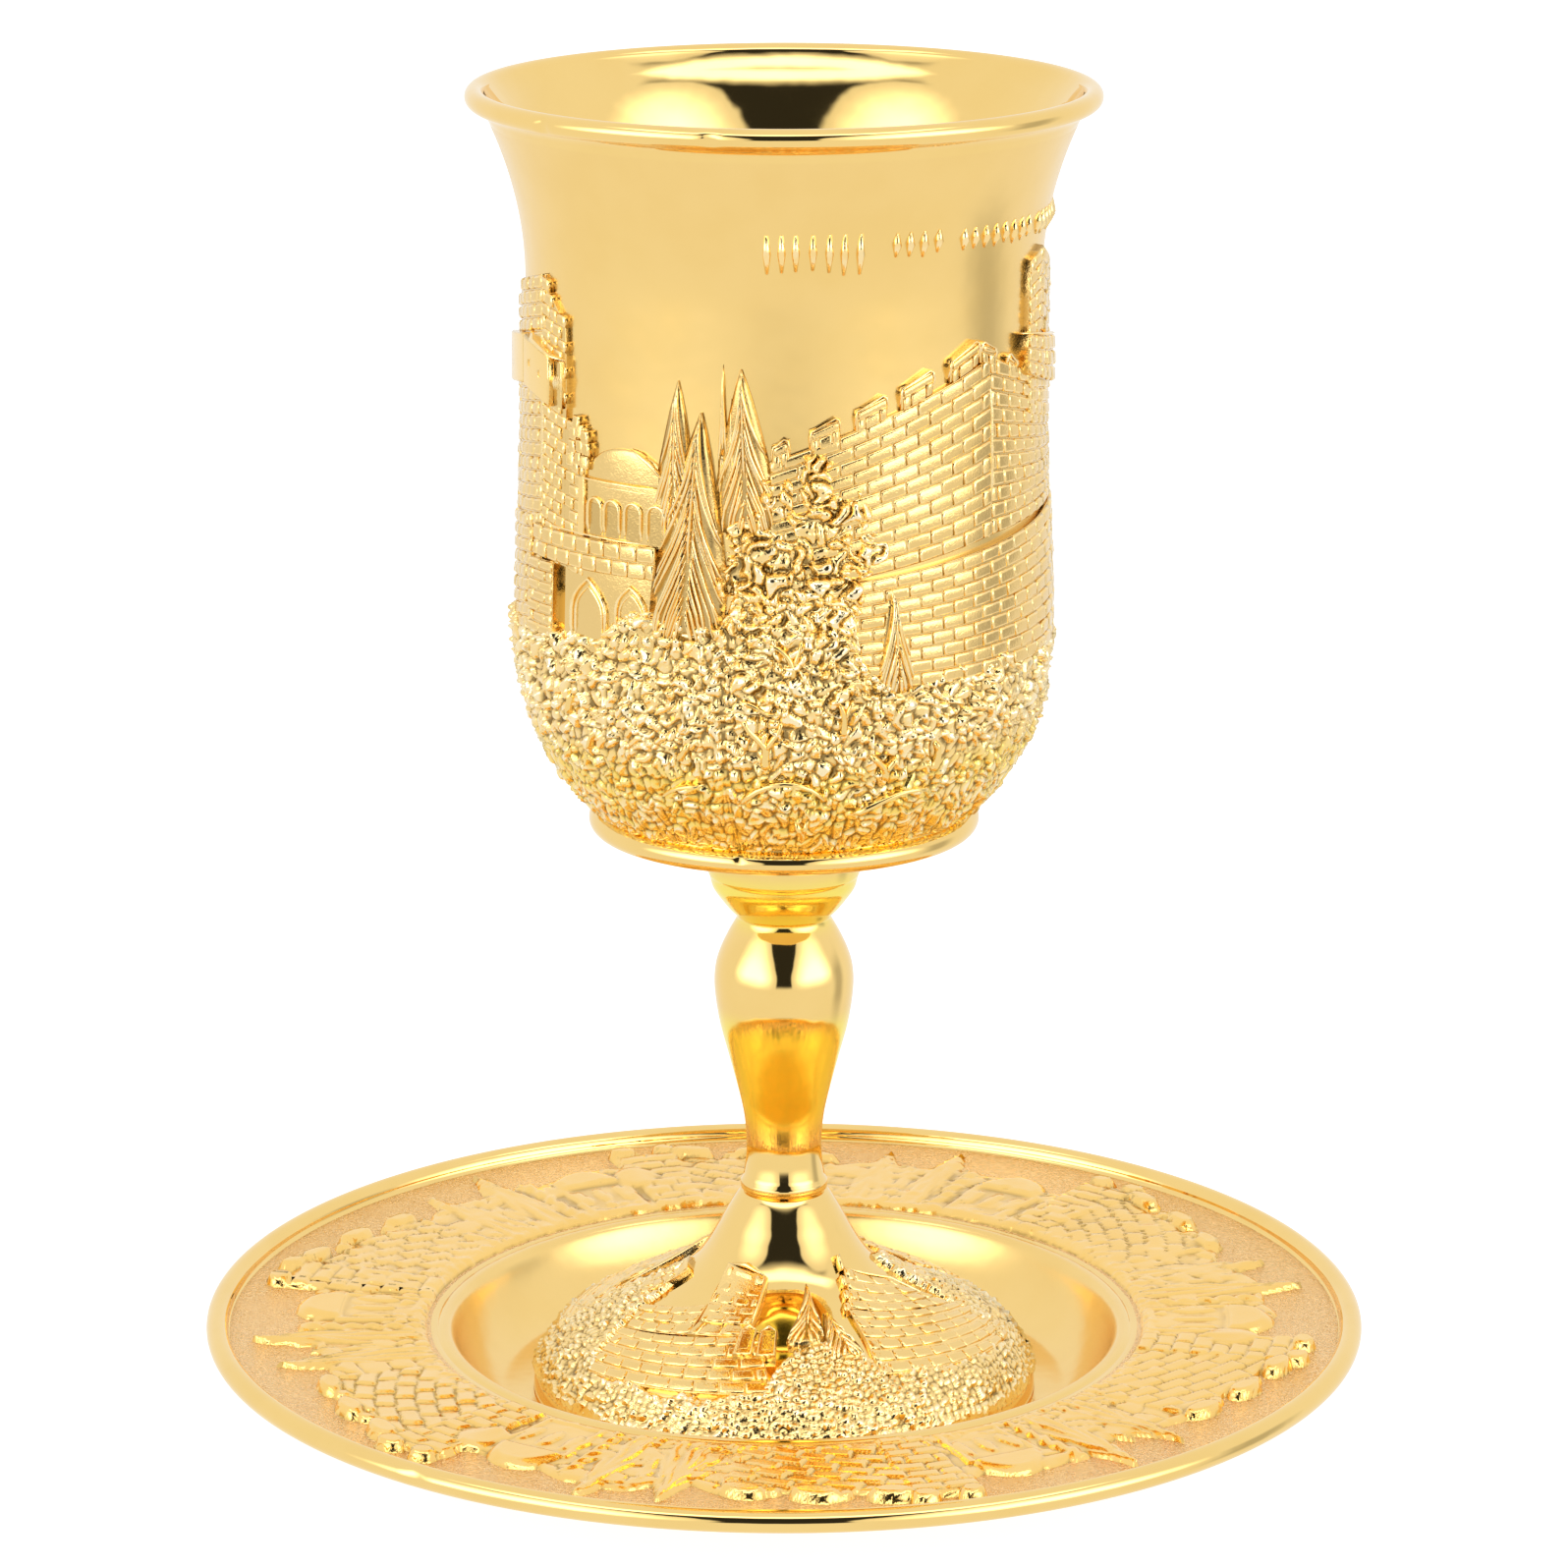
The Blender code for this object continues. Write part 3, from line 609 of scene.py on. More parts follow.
def cypressOf(carving, foot, tip, half, lift, strands, seed=0, drop=0.62):
    # strands sweep down and out from a middle line over a plain tapering body; half in mm
    scale = carving.ground.perDegree((foot[1] + tip[1]) / 2)
    tall = tip[1] - foot[1]

    def at(share, side):  # share of the way up, side from -1 to 1 across the outline
        wide = np.interp(share, *zip(*cypress["outline"])) * half / scale
        return foot[0] + (tip[0] - foot[0]) * share + side * wide, foot[1] + tall * share

    rows = 10
    body = []
    for share in [r / rows for r in range(rows + 1)]:
        for side in (-1, -0.6, 0, 0.6, 1):
            high = lift * (0.3 + 0.25 * math.sqrt(1 - side * side)) * min(1, 0.4 + 3 * (1 - share))
            body.append((*at(share, side), high))
    # painted shade over the body between the strands
    carving.sheet(body, rows + 1, 5, 0.9)
    widths = np.maximum(1.3 * half / strands * cypress["strandWidths"], cypress["leastWidth"])
    for side in (-1, 1):
        for k in range(strands):
            top = 1.0 - 0.93 * ((k + 0.5 * scatter(k, side, seed)) / strands) ** 0.85
            low = max(-0.02, top - drop * (0.75 + 0.5 * scatter(k, side + 5, seed)))
            reach = min(1, 1.15 * (top - low) / drop * (0.8 + 0.35 * scatter(k, side + 9, seed)))
            path = [at(top + (low - top) * s, side * (0.05 + (reach - 0.05) * s ** 1.25))
                    for s in np.linspace(0, 1, len(widths))]
            high = lift * (0.86 + 0.28 * scatter(k, side, seed + 3)) * min(1, 0.6 + 2 * (1 - low))
            carving.ridge(path, widths, high * cypress["strandLifts"])
    spine = [at(share, 0) for share in np.linspace(0.3, 1, 7)]
    carving.ridge(spine, cypress["spineWidths"], lift * cypress["spineLifts"])


bowlCurve = np.array(bowlOutside[::-1])
bowlGround = Ground(bowlCurve[:, 1], bowlCurve[:, 0], bowlCurve[:, 1])


# the walled town on the bowl

# the slab between the bricks is painted with shade of the given strength
bowlBricks = {"joint": 0.16, "edge": 0.34, "base": 0.3, "deep": 0.45}
merlons = {"foot": 0.7, "inset": 0.22, "split": 0.42, "joint": 0.22, "shoulder": 0.55, "rim": 0.34}


def walledFace(carving, corners, courses, length, lift, seed=0, keep=None, work=bowlBricks):
    # bricks on a recessed slab, painted with shade
    carving.slab(corners, lift - work["base"], 0.1, deep=work["deep"])
    carving.bricks(corners, courses, length, lift, work["joint"], work["edge"], seed, keep)


def merlon(carving, left, right, lift, rise):
    # two rows of brick inside a rounded outline; left and right are its (turn, climb) feet
    (t0, z0), (t1, z1) = left, right
    inset = merlons["inset"] / carving.ground.perDegree(z0)
    foot = -merlons["foot"]
    split = rise * merlons["split"]

    def block(aside, low, high):
        return upright(t0 + aside, t1 - aside, z0 + low, z1 + low, z0 + high, z1 + high)

    carving.slab(block(0, foot, rise), lift - 0.3, 0.25)
    carving.bricks(block(inset, foot, split), 1, 2.2, lift, merlons["joint"], 0.2, 1)
    carving.bricks(block(inset, split, rise - 0.2), 1, 3.4, lift + 0.05, merlons["joint"], 0.22)
    rim = [(0, -0.2), (0, rise * merlons["shoulder"]), (inset, rise - 0.12), (3 * inset, rise + 0.05)]
    path = [(t0 + aside, z0 + up) for aside, up in rim] + [((t0 + t1) / 2, (z0 + z1) / 2 + rise + 0.05)]
    path += [(t1 - aside, z1 + up) for aside, up in reversed(rim)]
    carving.ridge(path, merlons["rim"], lift + 0.08)


def rightWall():
    town = Carving("rightWall", bowlGround)
    front = upright(-3, 50, 112.2, 116.9, 128, 138.4)
    walledFace(town, front, 11, 3.3, 0.85, 1, lambda turn, climb: turn > 4 or climb > 118)
    walledFace(town, upright(50, 90, 116.9, 118.3, 138.4, 131), 11, 2.5, 0.8, 1)
    town.ridge([(50, 116.6), (50.1, 124), (50.2, 132), (50, 138.6)], 0.5, 0.9)
    for left, right, lift, rise in (
            ((-2.6, 127.9), (1.2, 128.6), 0.95, 2.1), ((5.4, 129.7), (11.9, 131), 0.95, 2.1),
            ((15.1, 131.9), (22.3, 133.4), 0.95, 2.1), ((25.3, 134.2), (33.4, 135.9), 0.95, 2.1),
            ((37.6, 136.8), (46, 138.6), 0.95, 2.1), ((46.4, 138.7), (51.6, 137.9), 0.95, 1.7),
            ((56.2, 136.9), (60.4, 136), 0.8, 1.3)):
        merlon(town, left, right, lift, rise)
    town.finish()

    low = Carving("lowerWall", bowlGround)
    walledFace(low, upright(13, 90, 100.4, 100.2, 113.3, 118.3), 9, 3, 1.08)
    low.finish()


def rightTower():
    tower = Carving("rightTower", bowlGround)
    walledFace(tower, upright(66, 74, 130, 129, 148.6, 150), 12, 2.6, 0.95)
    walledFace(tower, upright(74, 90, 129, 127.6, 150, 146), 12, 2.8, 0.95, 1)
    walledFace(tower, upright(63, 74, 135.4, 133.4, 140.1, 139), 3, 2.2, 1.7)
    walledFace(tower, upright(74, 88, 133.4, 131.8, 139, 137.8), 3, 2.6, 1.7, 2)
    tower.ridge([(62.8, 140.2), (68, 139.8), (74.2, 139.1), (81, 138.6), (88, 138)], 0.5, 2)
    tower.ridge([(74, 133.5), (74, 138.9)], 0.4, 1.95)
    tower.finish()


def leftTower():
    tower = Carving("leftTower", bowlGround)

    def leftOutline(turn, climb):
        return climb < 147.3 + 0.17 * (turn + 64)

    def rightOutline(turn, climb):
        if turn > -53.0:
            return climb < 130.3
        if turn > -59.6:
            return turn < -54.4 and climb < 144.4 - 0.5 * (turn + 59.6)
        return climb < 147.2 - 0.28 * (turn + 64)

    left = upright(-90, -64, 103, 104.6, 144.2, 147.3)
    walledFace(tower, left, 25, 2.4, 0.85, 2, leftOutline)
    # painted shade on the plain faces behind the bricks
    tower.slab(upright(-64, -54.2, 113.2, 112.6, 146.8, 142), 0.56, 0.1, deep=0.4)
    tower.slab([(-55, 112.6), (-47.9, 112.2), (-47, 130), (-55, 130.4)], 0.55, 0.1, deep=0.4)
    right = upright(-64, -47.4, 113.2, 112, 147.2, 145.2)
    tower.bricks(right, 22, 1.75, 0.85, bowlBricks["joint"], bowlBricks["edge"], 3, rightOutline)
    tower.ridge([(-64, 113.5), (-64, 125), (-64, 136), (-64, 147.2)], 0.5, 0.9)

    # the box under its top, with bars and two rings
    tower.slab(upright(-90, -70.2, 131.8, 133.6, 138, 139.6), 1.85, 0.28)
    tower.slab(upright(-70, -57.4, 133.4, 131.9, 139.6, 137.9), 1.95, 0.28)
    tower.ridge([(-70.2, 139.8), (-66, 139.2), (-61.7, 138.6), (-57.2, 138), (-54.4, 137.6)], 0.42, 2.1)
    # painted shade behind the bars
    tower.slab(upright(-57.4, -54.4, 131.9, 131.8, 137.8, 137.4), 1.2, 0.2, deep=0.4)
    for turn in (-57, -56.2, -55.4, -54.6):
        tower.ridge([(turn, 131.9), (turn, 134.8), (turn, 137.6)], 0.36, 1.5)
    for turn, climb in ((-66.3, 136.4), (-61.2, 135.6)):
        ring = [(turn + 0.55 * math.cos(a), climb + 0.5 * math.sin(a)) for a in np.linspace(0.4, 5.9, 9)]
        tower.ridge(ring, 0.22, 2.08)

    # loose stones beside it and larger courses at its foot
    stone = ((-1.15, -0.75), (1.15, -0.85), (1.05, 0.7), (-1.1, 0.8))
    for k, (turn, climb) in enumerate((
            (-51.6, 126), (-49.2, 126.3), (-47, 126), (-51.2, 127.6), (-48.6, 127.8),
            (-46.6, 127.6), (-50.9, 129.2), (-48.9, 129.6), (-47, 129), (-49.9, 130.6))):
        corners = [(turn + aside, climb + up) for aside, up in stone]
        tower.brick(corners, 1.05, 0.26, (scatter(k) - 0.5, scatter(k, 3) - 0.5, 0), 1.5)
    walledFace(tower, [(-68.5, 103.4), (-57.2, 103.6), (-57.2, 112.9), (-68.6, 112.5)], 7, 2.7, 1.3)
    walledFace(tower, [(-86, 101.5), (-68.5, 103.4), (-68.6, 117.6), (-86, 116.4)], 9, 2.6, 1.15, 1)
    tower.finish()


def archPath(middle, foot, half, top, pointed, count=9):
    # the curve round an opening, from its left foot over its head to its right foot
    spring = top - half * 0.56 * (1.35 if pointed else 1)
    path = [(middle - half, foot), (middle - half, (foot + spring) / 2)]
    for share in np.linspace(0, 1, count):
        angle = math.pi * (1 - share)
        across = math.cos(angle)
        rise = math.sin(angle)
        if pointed:
            across = math.copysign(1 - (1 - abs(2 * share - 1)) ** 1.35, share - 0.5)
            rise = (1 - abs(2 * share - 1)) ** 0.72
        path.append((middle + half * across, spring + (top - spring) * rise))
    return path + [(middle + half, (foot + spring) / 2), (middle + half, foot)]


def domedHall():
    hall = Carving("domedHall", bowlGround)
    # the dome and the walls behind the windows carry painted shade
    hall.mound(-36.2, 123.9, 11.4, 4.4, 0.6, 12, 30, 0.3, 0.3)
    crest = [(-34.6, 128.4), (-32.2, 127.9), (-29.6, 127), (-27.4, 125.9), (-26.2, 124.9)]
    hall.ridge(crest, [0.3, 0.55, 0.7, 0.6, 0.4], [0.6, 0.95, 1, 0.95, 0.7], base=0.1)
    hall.slab(upright(-48.6, -24.4, 117, 117, 124.3, 123.9), 0.62, 0.16, 1.2, 0.35)
    hall.slab(upright(-48.9, -46.7, 117, 117, 124.4, 124.2), 1, 0.2)
    hall.ridge([(-48.9, 124.75), (-46.8, 124.1), (-40, 124.05), (-32, 124), (-24, 123.95)], 0.42, 1.12)
    hall.ridge([(-46.8, 123.45), (-40, 123.45), (-32, 123.4), (-24, 123.35)], 0.26, 0.9)
    for middle in (-43.7, -38.9, -33.4, -27.7):  # windows filled with short strokes of tracery
        window = [(middle - 1.7, 116.9), (middle + 1.7, 116.9), (middle + 1.5, 121.3), (middle - 1.5, 121.3)]
        # painted shade in the window
        hall.slab(window, 0.66, 0.05, deep=0.75)
        hall.ridge(archPath(middle, 116.8, 2.05, 122, False), 0.5, 1.15)
        for k in range(22):
            turn = middle + 2.0 * (scatter(k, middle) - 0.5)
            climb = 117.2 + 3.4 * scatter(k, middle, 5)
            hall.ridge([(turn - 0.25, climb - 0.35), (turn + 0.3 * scatter(k, 8), climb + 0.4)], 0.26, 0.9)
    walledFace(hall, upright(-66, -27.6, 113, 113.1, 116.9, 117.1), 2, 2.35, 1.35, 1)
    hall.ridge([(-66, 117.15), (-56, 117.3), (-46, 117.35), (-36, 117.3), (-27, 117.2)], 0.34, 1.3)
    hall.slab(upright(-53.6, -28, 103, 103, 112.9, 113.2), 0.6, 0.14, 1.5, 0.35)
    for middle, foot, half, top in ((-45.4, 103.6, 5.2, 112), (-33.7, 106, 3.7, 111.9)):
        hall.ridge(archPath(middle, foot, half, top, True, 13), 0.6, 1.15)
        hall.ridge(archPath(middle, foot, half * 0.78, top - 0.95, True, 13), 0.26, 0.9)
        for k in range(26):
            turn = middle + half * 1.3 * (scatter(k, middle) - 0.5)
            climb = foot + 0.6 + (top - foot - 2.4) * scatter(k, middle, 5)
            hall.ridge([(turn, climb), (turn + 0.6 * (scatter(k, 9) - 0.5), climb + 0.9)], 0.26, 0.86)
    hall.finish()


def bowlTrees():
    trees = Carving("bowlCypresses", bowlGround)
    for tree in (
            ((-24, 119.5), (-23.1, 137.2), 2.7, 1.25, 9), ((-13, 124), (-13, 139.4), 0.6, 0.9, 2),
            ((-10.6, 119), (-11.2, 135.4), 0.9, 0.95, 3, 1), ((-7.8, 119.5), (-9.1, 138.9), 3.7, 1.6, 11, 2),
            ((-21.2, 106.4), (-17.8, 133.6), 4.8, 2, 16, 3, 0.5),
            ((23.8, 99.8), (22.6, 112.9), 2.3, 2.2, 7, 4, 0.7),
            ((131, 100), (131, 136.5), 2.8, 1.5, 8, 2.8), ((140, 101.3), (140, 131.5), 3.1, 1.4, 8, 3.1),
            ((237.4, 100), (237.4, 139), 2.9, 1.5, 8, 2.9), ((247, 98.7), (247, 131), 2.4, 1.4, 7, 2.4)):
        cypressOf(trees, *tree)
    trees.finish(smooth=True)


# bushes and round trees; waves along them are a whole number round the cup

reliefRadius = 32  # where the bowl's relief is measured in mm
bushes = {"low": 77.9, "size": 1.5, "lift": 1.15, "curls": 0.5, "swell": 0.55, "seam": -12.8}
canopy = {"middle": (3.2, 117), "half": (17.4, 10.9), "bend": 2.6, "coarse": 1.8, "fine": 1.1, "holes": 1.9,
          "swell": 3.9}


def bushTop(turn):  # where the bushes end against the town
    keys = [(-90, 104.5), (-69, 103.6), (-60, 103.8), (-51, 105.2), (-43, 105.4), (-38, 107.8), (-33, 109),
            (-28, 108.6), (-21, 107.9), (-14, 108.6), (-10, 112), (14, 112), (16, 104), (20, 101.6),
            (28, 101.2), (46, 101.4), (60, 101.2), (90, 100.8), (126, 101), (150, 100), (174, 101.5),
            (200, 104), (214, 104), (236, 101), (262, 102), (270, 104.5)]
    return np.interp(np.mod(np.asarray(turn) + 90, 360) - 90, *zip(*keys))


def bushLift(turn, climb):
    x = turn * reliefRadius * math.pi / 180
    circle = 2 * math.pi * reliefRadius
    around = round(circle / bushes["size"])
    bendX = 2.1 * (waves(x, climb, circle / 104, 104, 5) - 0.5)
    bendY = 2.1 * (waves(x, climb, circle / 112, 112, 6) - 0.5)
    fine = nuggets(x + bendX, climb * 1.05 + bendY, circle / around, around, 1, gap=0.5, uneven=0.65)
    tiny = nuggets(x + 3 + bendY, climb, circle / around / 2, around * 2, 4, gap=0.6, uneven=0.7)
    curls = 1 - np.abs(2 * waves(x + 2 * bendY, climb + bendX, circle / 110, 110, 8) - 1)
    swell = waves(x, climb, circle / 44, 44, 2)
    lift = 0.05 + bushes["lift"] * fine + 0.16 * tiny * fine
    lift = lift + bushes["curls"] * curls ** 4 + bushes["swell"] * swell
    lift = lift * np.interp(climb, (78, 84, 97), (0.5, 0.6, 1))  # flatter towards the flange
    top = bushTop(turn) + 2.0 * (waves(x, climb * 0, circle / 80, 80, 7) - 0.5) + 0.7 * fine
    hem = np.clip((top - climb) / 0.9, 0, 1)
    foot = np.clip((climb - bushes["low"]) / 1.2, 0, 1)
    seam = np.abs(turn - bushes["seam"] - 0.012 * (climb - 100)) * 0.56  # the mould's parting line
    hollow = np.clip(1 - seam / 0.55, 0, 1) * 0.6 * (climb < 104)
    lift = lift * (1 - hollow) + 0.3 * np.clip(1 - seam / 0.22, 0, 1) * (climb < 104)
    return (lift * np.where(np.abs(turn - 3) < 14, 1.15, 1) + 0.5) * np.sqrt(np.clip(hem * foot, 0, 1)) - 0.5


def canopyLift(turn, climb, middle=canopy["middle"], half=canopy["half"]):
    x = turn * reliefRadius * math.pi / 180
    bendX = canopy["bend"] * (waves(x, climb, 1.7, 0, 1) - 0.5)
    bendY = canopy["bend"] * (waves(x, climb, 1.9, 0, 2) - 0.5)
    coarse = nuggets(x + bendX, climb + bendY, canopy["coarse"], 0, 3, gap=0.5, uneven=0.8)
    fine = nuggets(x + bendY, climb, canopy["fine"], 0, 6, gap=0.8, uneven=0.6)
    holes = np.clip((waves(x + bendY, climb + bendX, canopy["holes"], 0, 12) - 0.26) / 0.16, 0, 1)
    swell = waves(x, climb, canopy["swell"], 0, 9)
    up = (climb - middle[1]) / half[1]
    across = (turn - middle[0]) / half[0]
    angle = np.arctan2(up, across)
    edge = 1.0 + 0.09 * np.sin(5 * angle + 1) + 0.07 * np.sin(9 * angle + 2) + 0.2 * (coarse - 0.5)
    hem = np.clip((edge - np.hypot(up, across)) / 0.11, 0, 1)
    lift = 0.1 + (1.9 * coarse + 0.2 * fine) * (0.12 + 0.88 * holes) + 0.7 * swell * (0.3 + 0.7 * holes)
    return (lift + 0.6) * np.sqrt(hem) - 0.6


def foliage():
    spread("bowlBushes", bowlGround, (-96, 96, 0.355), [(77.4, 88, 0.18), (88.21, 112.6, 0.21)], bushLift)
    spread("bowlBushesBack", bowlGround, (95.5, 264.5, 0.62), [(77.4, 106, 0.33)], bushLift)
    spread("canopy", bowlGround, (-17.5, 24.5, 0.25), [(105, 129.6, 0.145)], canopyLift, 0.14)
    spread("canopyBack", bowlGround, (190, 224, 0.5), [(101.5, 122.6, 0.3)],
           lambda turn, climb: canopyLift(turn, climb, (207, 112), (14, 9.5)), 0.3)

    twigs = Carving("twigs", bowlGround, mirrorGold)
    forks = [
        ([(-3.9, 90.6), (-4, 92.4), (-3.9, 93.7), (-5.4, 94.8), (-7.4, 96), (-8.6, 97.4)], 1),
        ([(-3.9, 93.4), (-2.6, 94.6), (-1.1, 95.8), (-0.4, 97.2)], 0.75),
        ([(1.8, 102), (1.7, 103.6), (0.6, 104.9), (-1.2, 105.8), (-3.2, 106.4)], 0.8),
        ([(1.8, 103.4), (2.8, 105), (3.9, 107.2)], 0.6),
        ([(12.4, 94.6), (12.5, 96.6), (12.2, 98), (11, 99.4)], 0.85),
        ([(12.5, 97), (13.4, 98.4), (14.4, 99.5)], 0.6),
        ([(22.9, 88.6), (22.6, 90.2), (20.8, 91.4), (18.6, 92.4)], 0.95),
        ([(22.6, 90), (23.8, 91), (25, 91.9)], 0.7),
        ([(34.4, 89.2), (35.4, 90.6), (35.2, 92), (34, 93.2)], 0.9),
        ([(4.3, 80.9), (4.3, 82.3), (2.7, 83.7)], 0.9),
        ([(4.3, 82), (5.9, 84)], 0.7),
        ([(-52.8, 94.6), (-51.6, 96.2), (-50.4, 97.9)], 0.9),
        ([(-48, 90.8), (-46.4, 92.2), (-44.2, 93.8)], 0.9),
        ([(-23.4, 91.4), (-21.8, 92.6), (-20.4, 94)], 0.9),
        ([(-9, 99.4), (-6.4, 99), (-3, 97.9), (-0.6, 98.4)], 0.5),
        ([(-57.6, 88.4), (-56.4, 90.4)], 0.7), ([(44, 96), (45.6, 97.6)], 0.7),
        ([(16, 84.4), (22, 86), (29, 87.2), (36, 87)], 0.6),
        ([(-10.6, 86), (-6, 88.2), (0, 89.2), (6, 88.4), (10, 86.4)], 0.7),
        ([(-30, 86.2), (-24, 88), (-18, 88.4)], 0.5),
    ]
    for path, width in forks:
        long = smoothCurve(path, 3)
        twigs.ridge(long, np.linspace(width * 1.5, width * 0.9, len(long)), 1.75)
    twigs.finish(smooth=True)


strokes = {
    "width": 1.2, "lift": 0.75, "apart": 2.9, "uneven": 0.7,
    "rows": ((-3.6, 17, 150, 155), (24, 35.6, 151.6, 154.8), (41, 64.4, 151.5, 154.5),
             (70, 92, 151.3, 154.4), (101, 131, 151.4, 154.6), (138, 168, 151.4, 154.6),
             (176, 206, 151.4, 154.6), (214, 244, 151.4, 154.6)),
}


def strokeRows():
    # rows of shallow strokes under the rim, which aren't letters
    rows = Carving("strokes", bowlGround)
    for start, end, low, high in strokes["rows"]:
        turn = start
        k = 0
        while turn < end:
            tall = (high - low) * (0.85 + 0.15 * scatter(k, start))
            path = [(turn, high - tall), (turn, high - tall / 2), (turn, high)]
            rows.ridge(path, strokes["width"], strokes["lift"])
            turn += strokes["apart"] + strokes["uneven"] * scatter(k, start, 4)
            k += 1
    rows.finish(smooth=True)


def backTown():
    # the side that the photo doesn't show, plainer
    town = Carving("backTown", bowlGround)
    for t0, t1, top0, top1, lift, courses in (
            (90, 126, 138.2, 129, 0.85, 13), (174, 186, 138, 138, 1.3, 13),
            (185, 236, 127, 137, 0.85, 12), (251.7, 264.4, 121, 121, 1.2, 7),
            (261.6, 270, 130, 130, 0.85, 10)):
        walledFace(town, upright(t0, t1, 100.5, 100.5, top0, top1), courses, 3.3, lift)
        count = round((t1 - t0) / 8)
        for k in range(count):
            left = t0 + (t1 - t0) * (k + 0.15) / count
            right = t0 + (t1 - t0) * (k + 0.8) / count
            z0, z1 = np.interp((left, right), (t0, t1), (top0, top1))
            merlon(town, (left, z0), (right, z1), lift + 0.1, 1.8)
    town.mound(160, 123, 10.5, 6, 0.95, 10, 26, 0.36)
    town.slab(upright(147, 173, 100.5, 100.5, 123, 123), 0.7, 0.16, 1.5)
    for climb, width, lift in ((123.2, 0.5, 1.15), (112.6, 0.4, 1)):
        town.ridge([(turn, climb) for turn in np.linspace(146.8, 173.2, 10)], width, lift)
    for middle in (151, 157, 163, 169):
        town.ridge(archPath(middle, 114, 1.9, 120.6, False), 0.5, 1.15)
        town.ridge(archPath(middle, 103.6, 2.2, 111, True, 11), 0.5, 1.15)
    town.finish()


rightWall()
backTown()
rightTower()
leftTower()
domedHall()
bowlTrees()
foliage()
strokeRows()
print("stage: bowl relief")


# forms cut from a field of cells: x and y in mm on the ground

def inQuad(x, y, corners):  # how far inside a quad, its corners listed round to the left
    inside = np.full(x.shape, 99)
    for (x0, y0), (x1, y1) in zip(corners, corners[1:] + corners[:1]):
        away = ((x1 - x0) * (y - y0) - (y1 - y0) * (x - x0)) / math.hypot(x1 - x0, y1 - y0)
        inside = np.minimum(inside, away)
    return inside


def rounded(inside, edge):  # from 0 at an outline to 1 once edge mm inside
    share = np.clip(inside / edge, 0, 1)
    return np.sqrt(share * (2 - share))


def egg(x, y, middle, half, lean=0):
    across = (x - middle[0]) * math.cos(lean) + (y - middle[1]) * math.sin(lean)
    along = (y - middle[1]) * math.cos(lean) - (x - middle[0]) * math.sin(lean)
    return np.minimum(1.5 * np.sqrt(np.clip(1 - (across / half[0]) ** 2 - (along / half[1]) ** 2, 0, 1)), 1)


def leaf(x, y, foot, tip, half, strands):
    # a long pointed tree with fine strands sweeping up to its tip
    length = math.hypot(tip[0] - foot[0], tip[1] - foot[1])
    ux, uy = (tip[0] - foot[0]) / length, (tip[1] - foot[1]) / length
    share = ((x - foot[0]) * ux + (y - foot[1]) * uy) / length
    aside = (x - foot[0]) * uy - (y - foot[1]) * ux
    wide = half * np.interp(share, (-0.02, 0, 0.12, 0.35, 0.7, 0.9, 1), (0, 0.6, 0.95, 1, 0.62, 0.25, 0))
    side = aside / np.maximum(wide, 0.05)
    body = np.sqrt(np.clip(1 - side * side, 0, 1)) * (wide > 0)
    groove = 0.5 + 0.5 * np.cos(2 * math.pi * (strands * np.abs(side) + share * 2))
    return body * (0.78 + 0.22 * groove * np.clip(np.abs(side) * 4, 0, 1))


def coursePattern(x, y, length, height, seed):
    row = np.floor(y / height)
    across = x / length + 0.5 * np.mod(row, 2) + 0.25 * scatter(row, seed)
    cell = np.floor(across)
    inside = np.minimum(np.minimum(across - cell, cell + 1 - across) * length,
                        np.minimum(y / height - row, row + 1 - y / height) * height)
    return inside, scatter(row, cell, seed), across - cell


# the saucer's rim: the same town six times round, its tops towards the bead

saucerRim = {"low": 45.1, "high": 68.9, "sunk": -0.3, "stretches": 6, "start": -14, "middle": 57,
             "slant": 28, "plate": 4.2, "bush": 1.9}
rimRadii = np.linspace(43.5, 70.6, 60)
saucerGround = Ground(rimRadii, rimRadii, rimTop(rimRadii), -1)


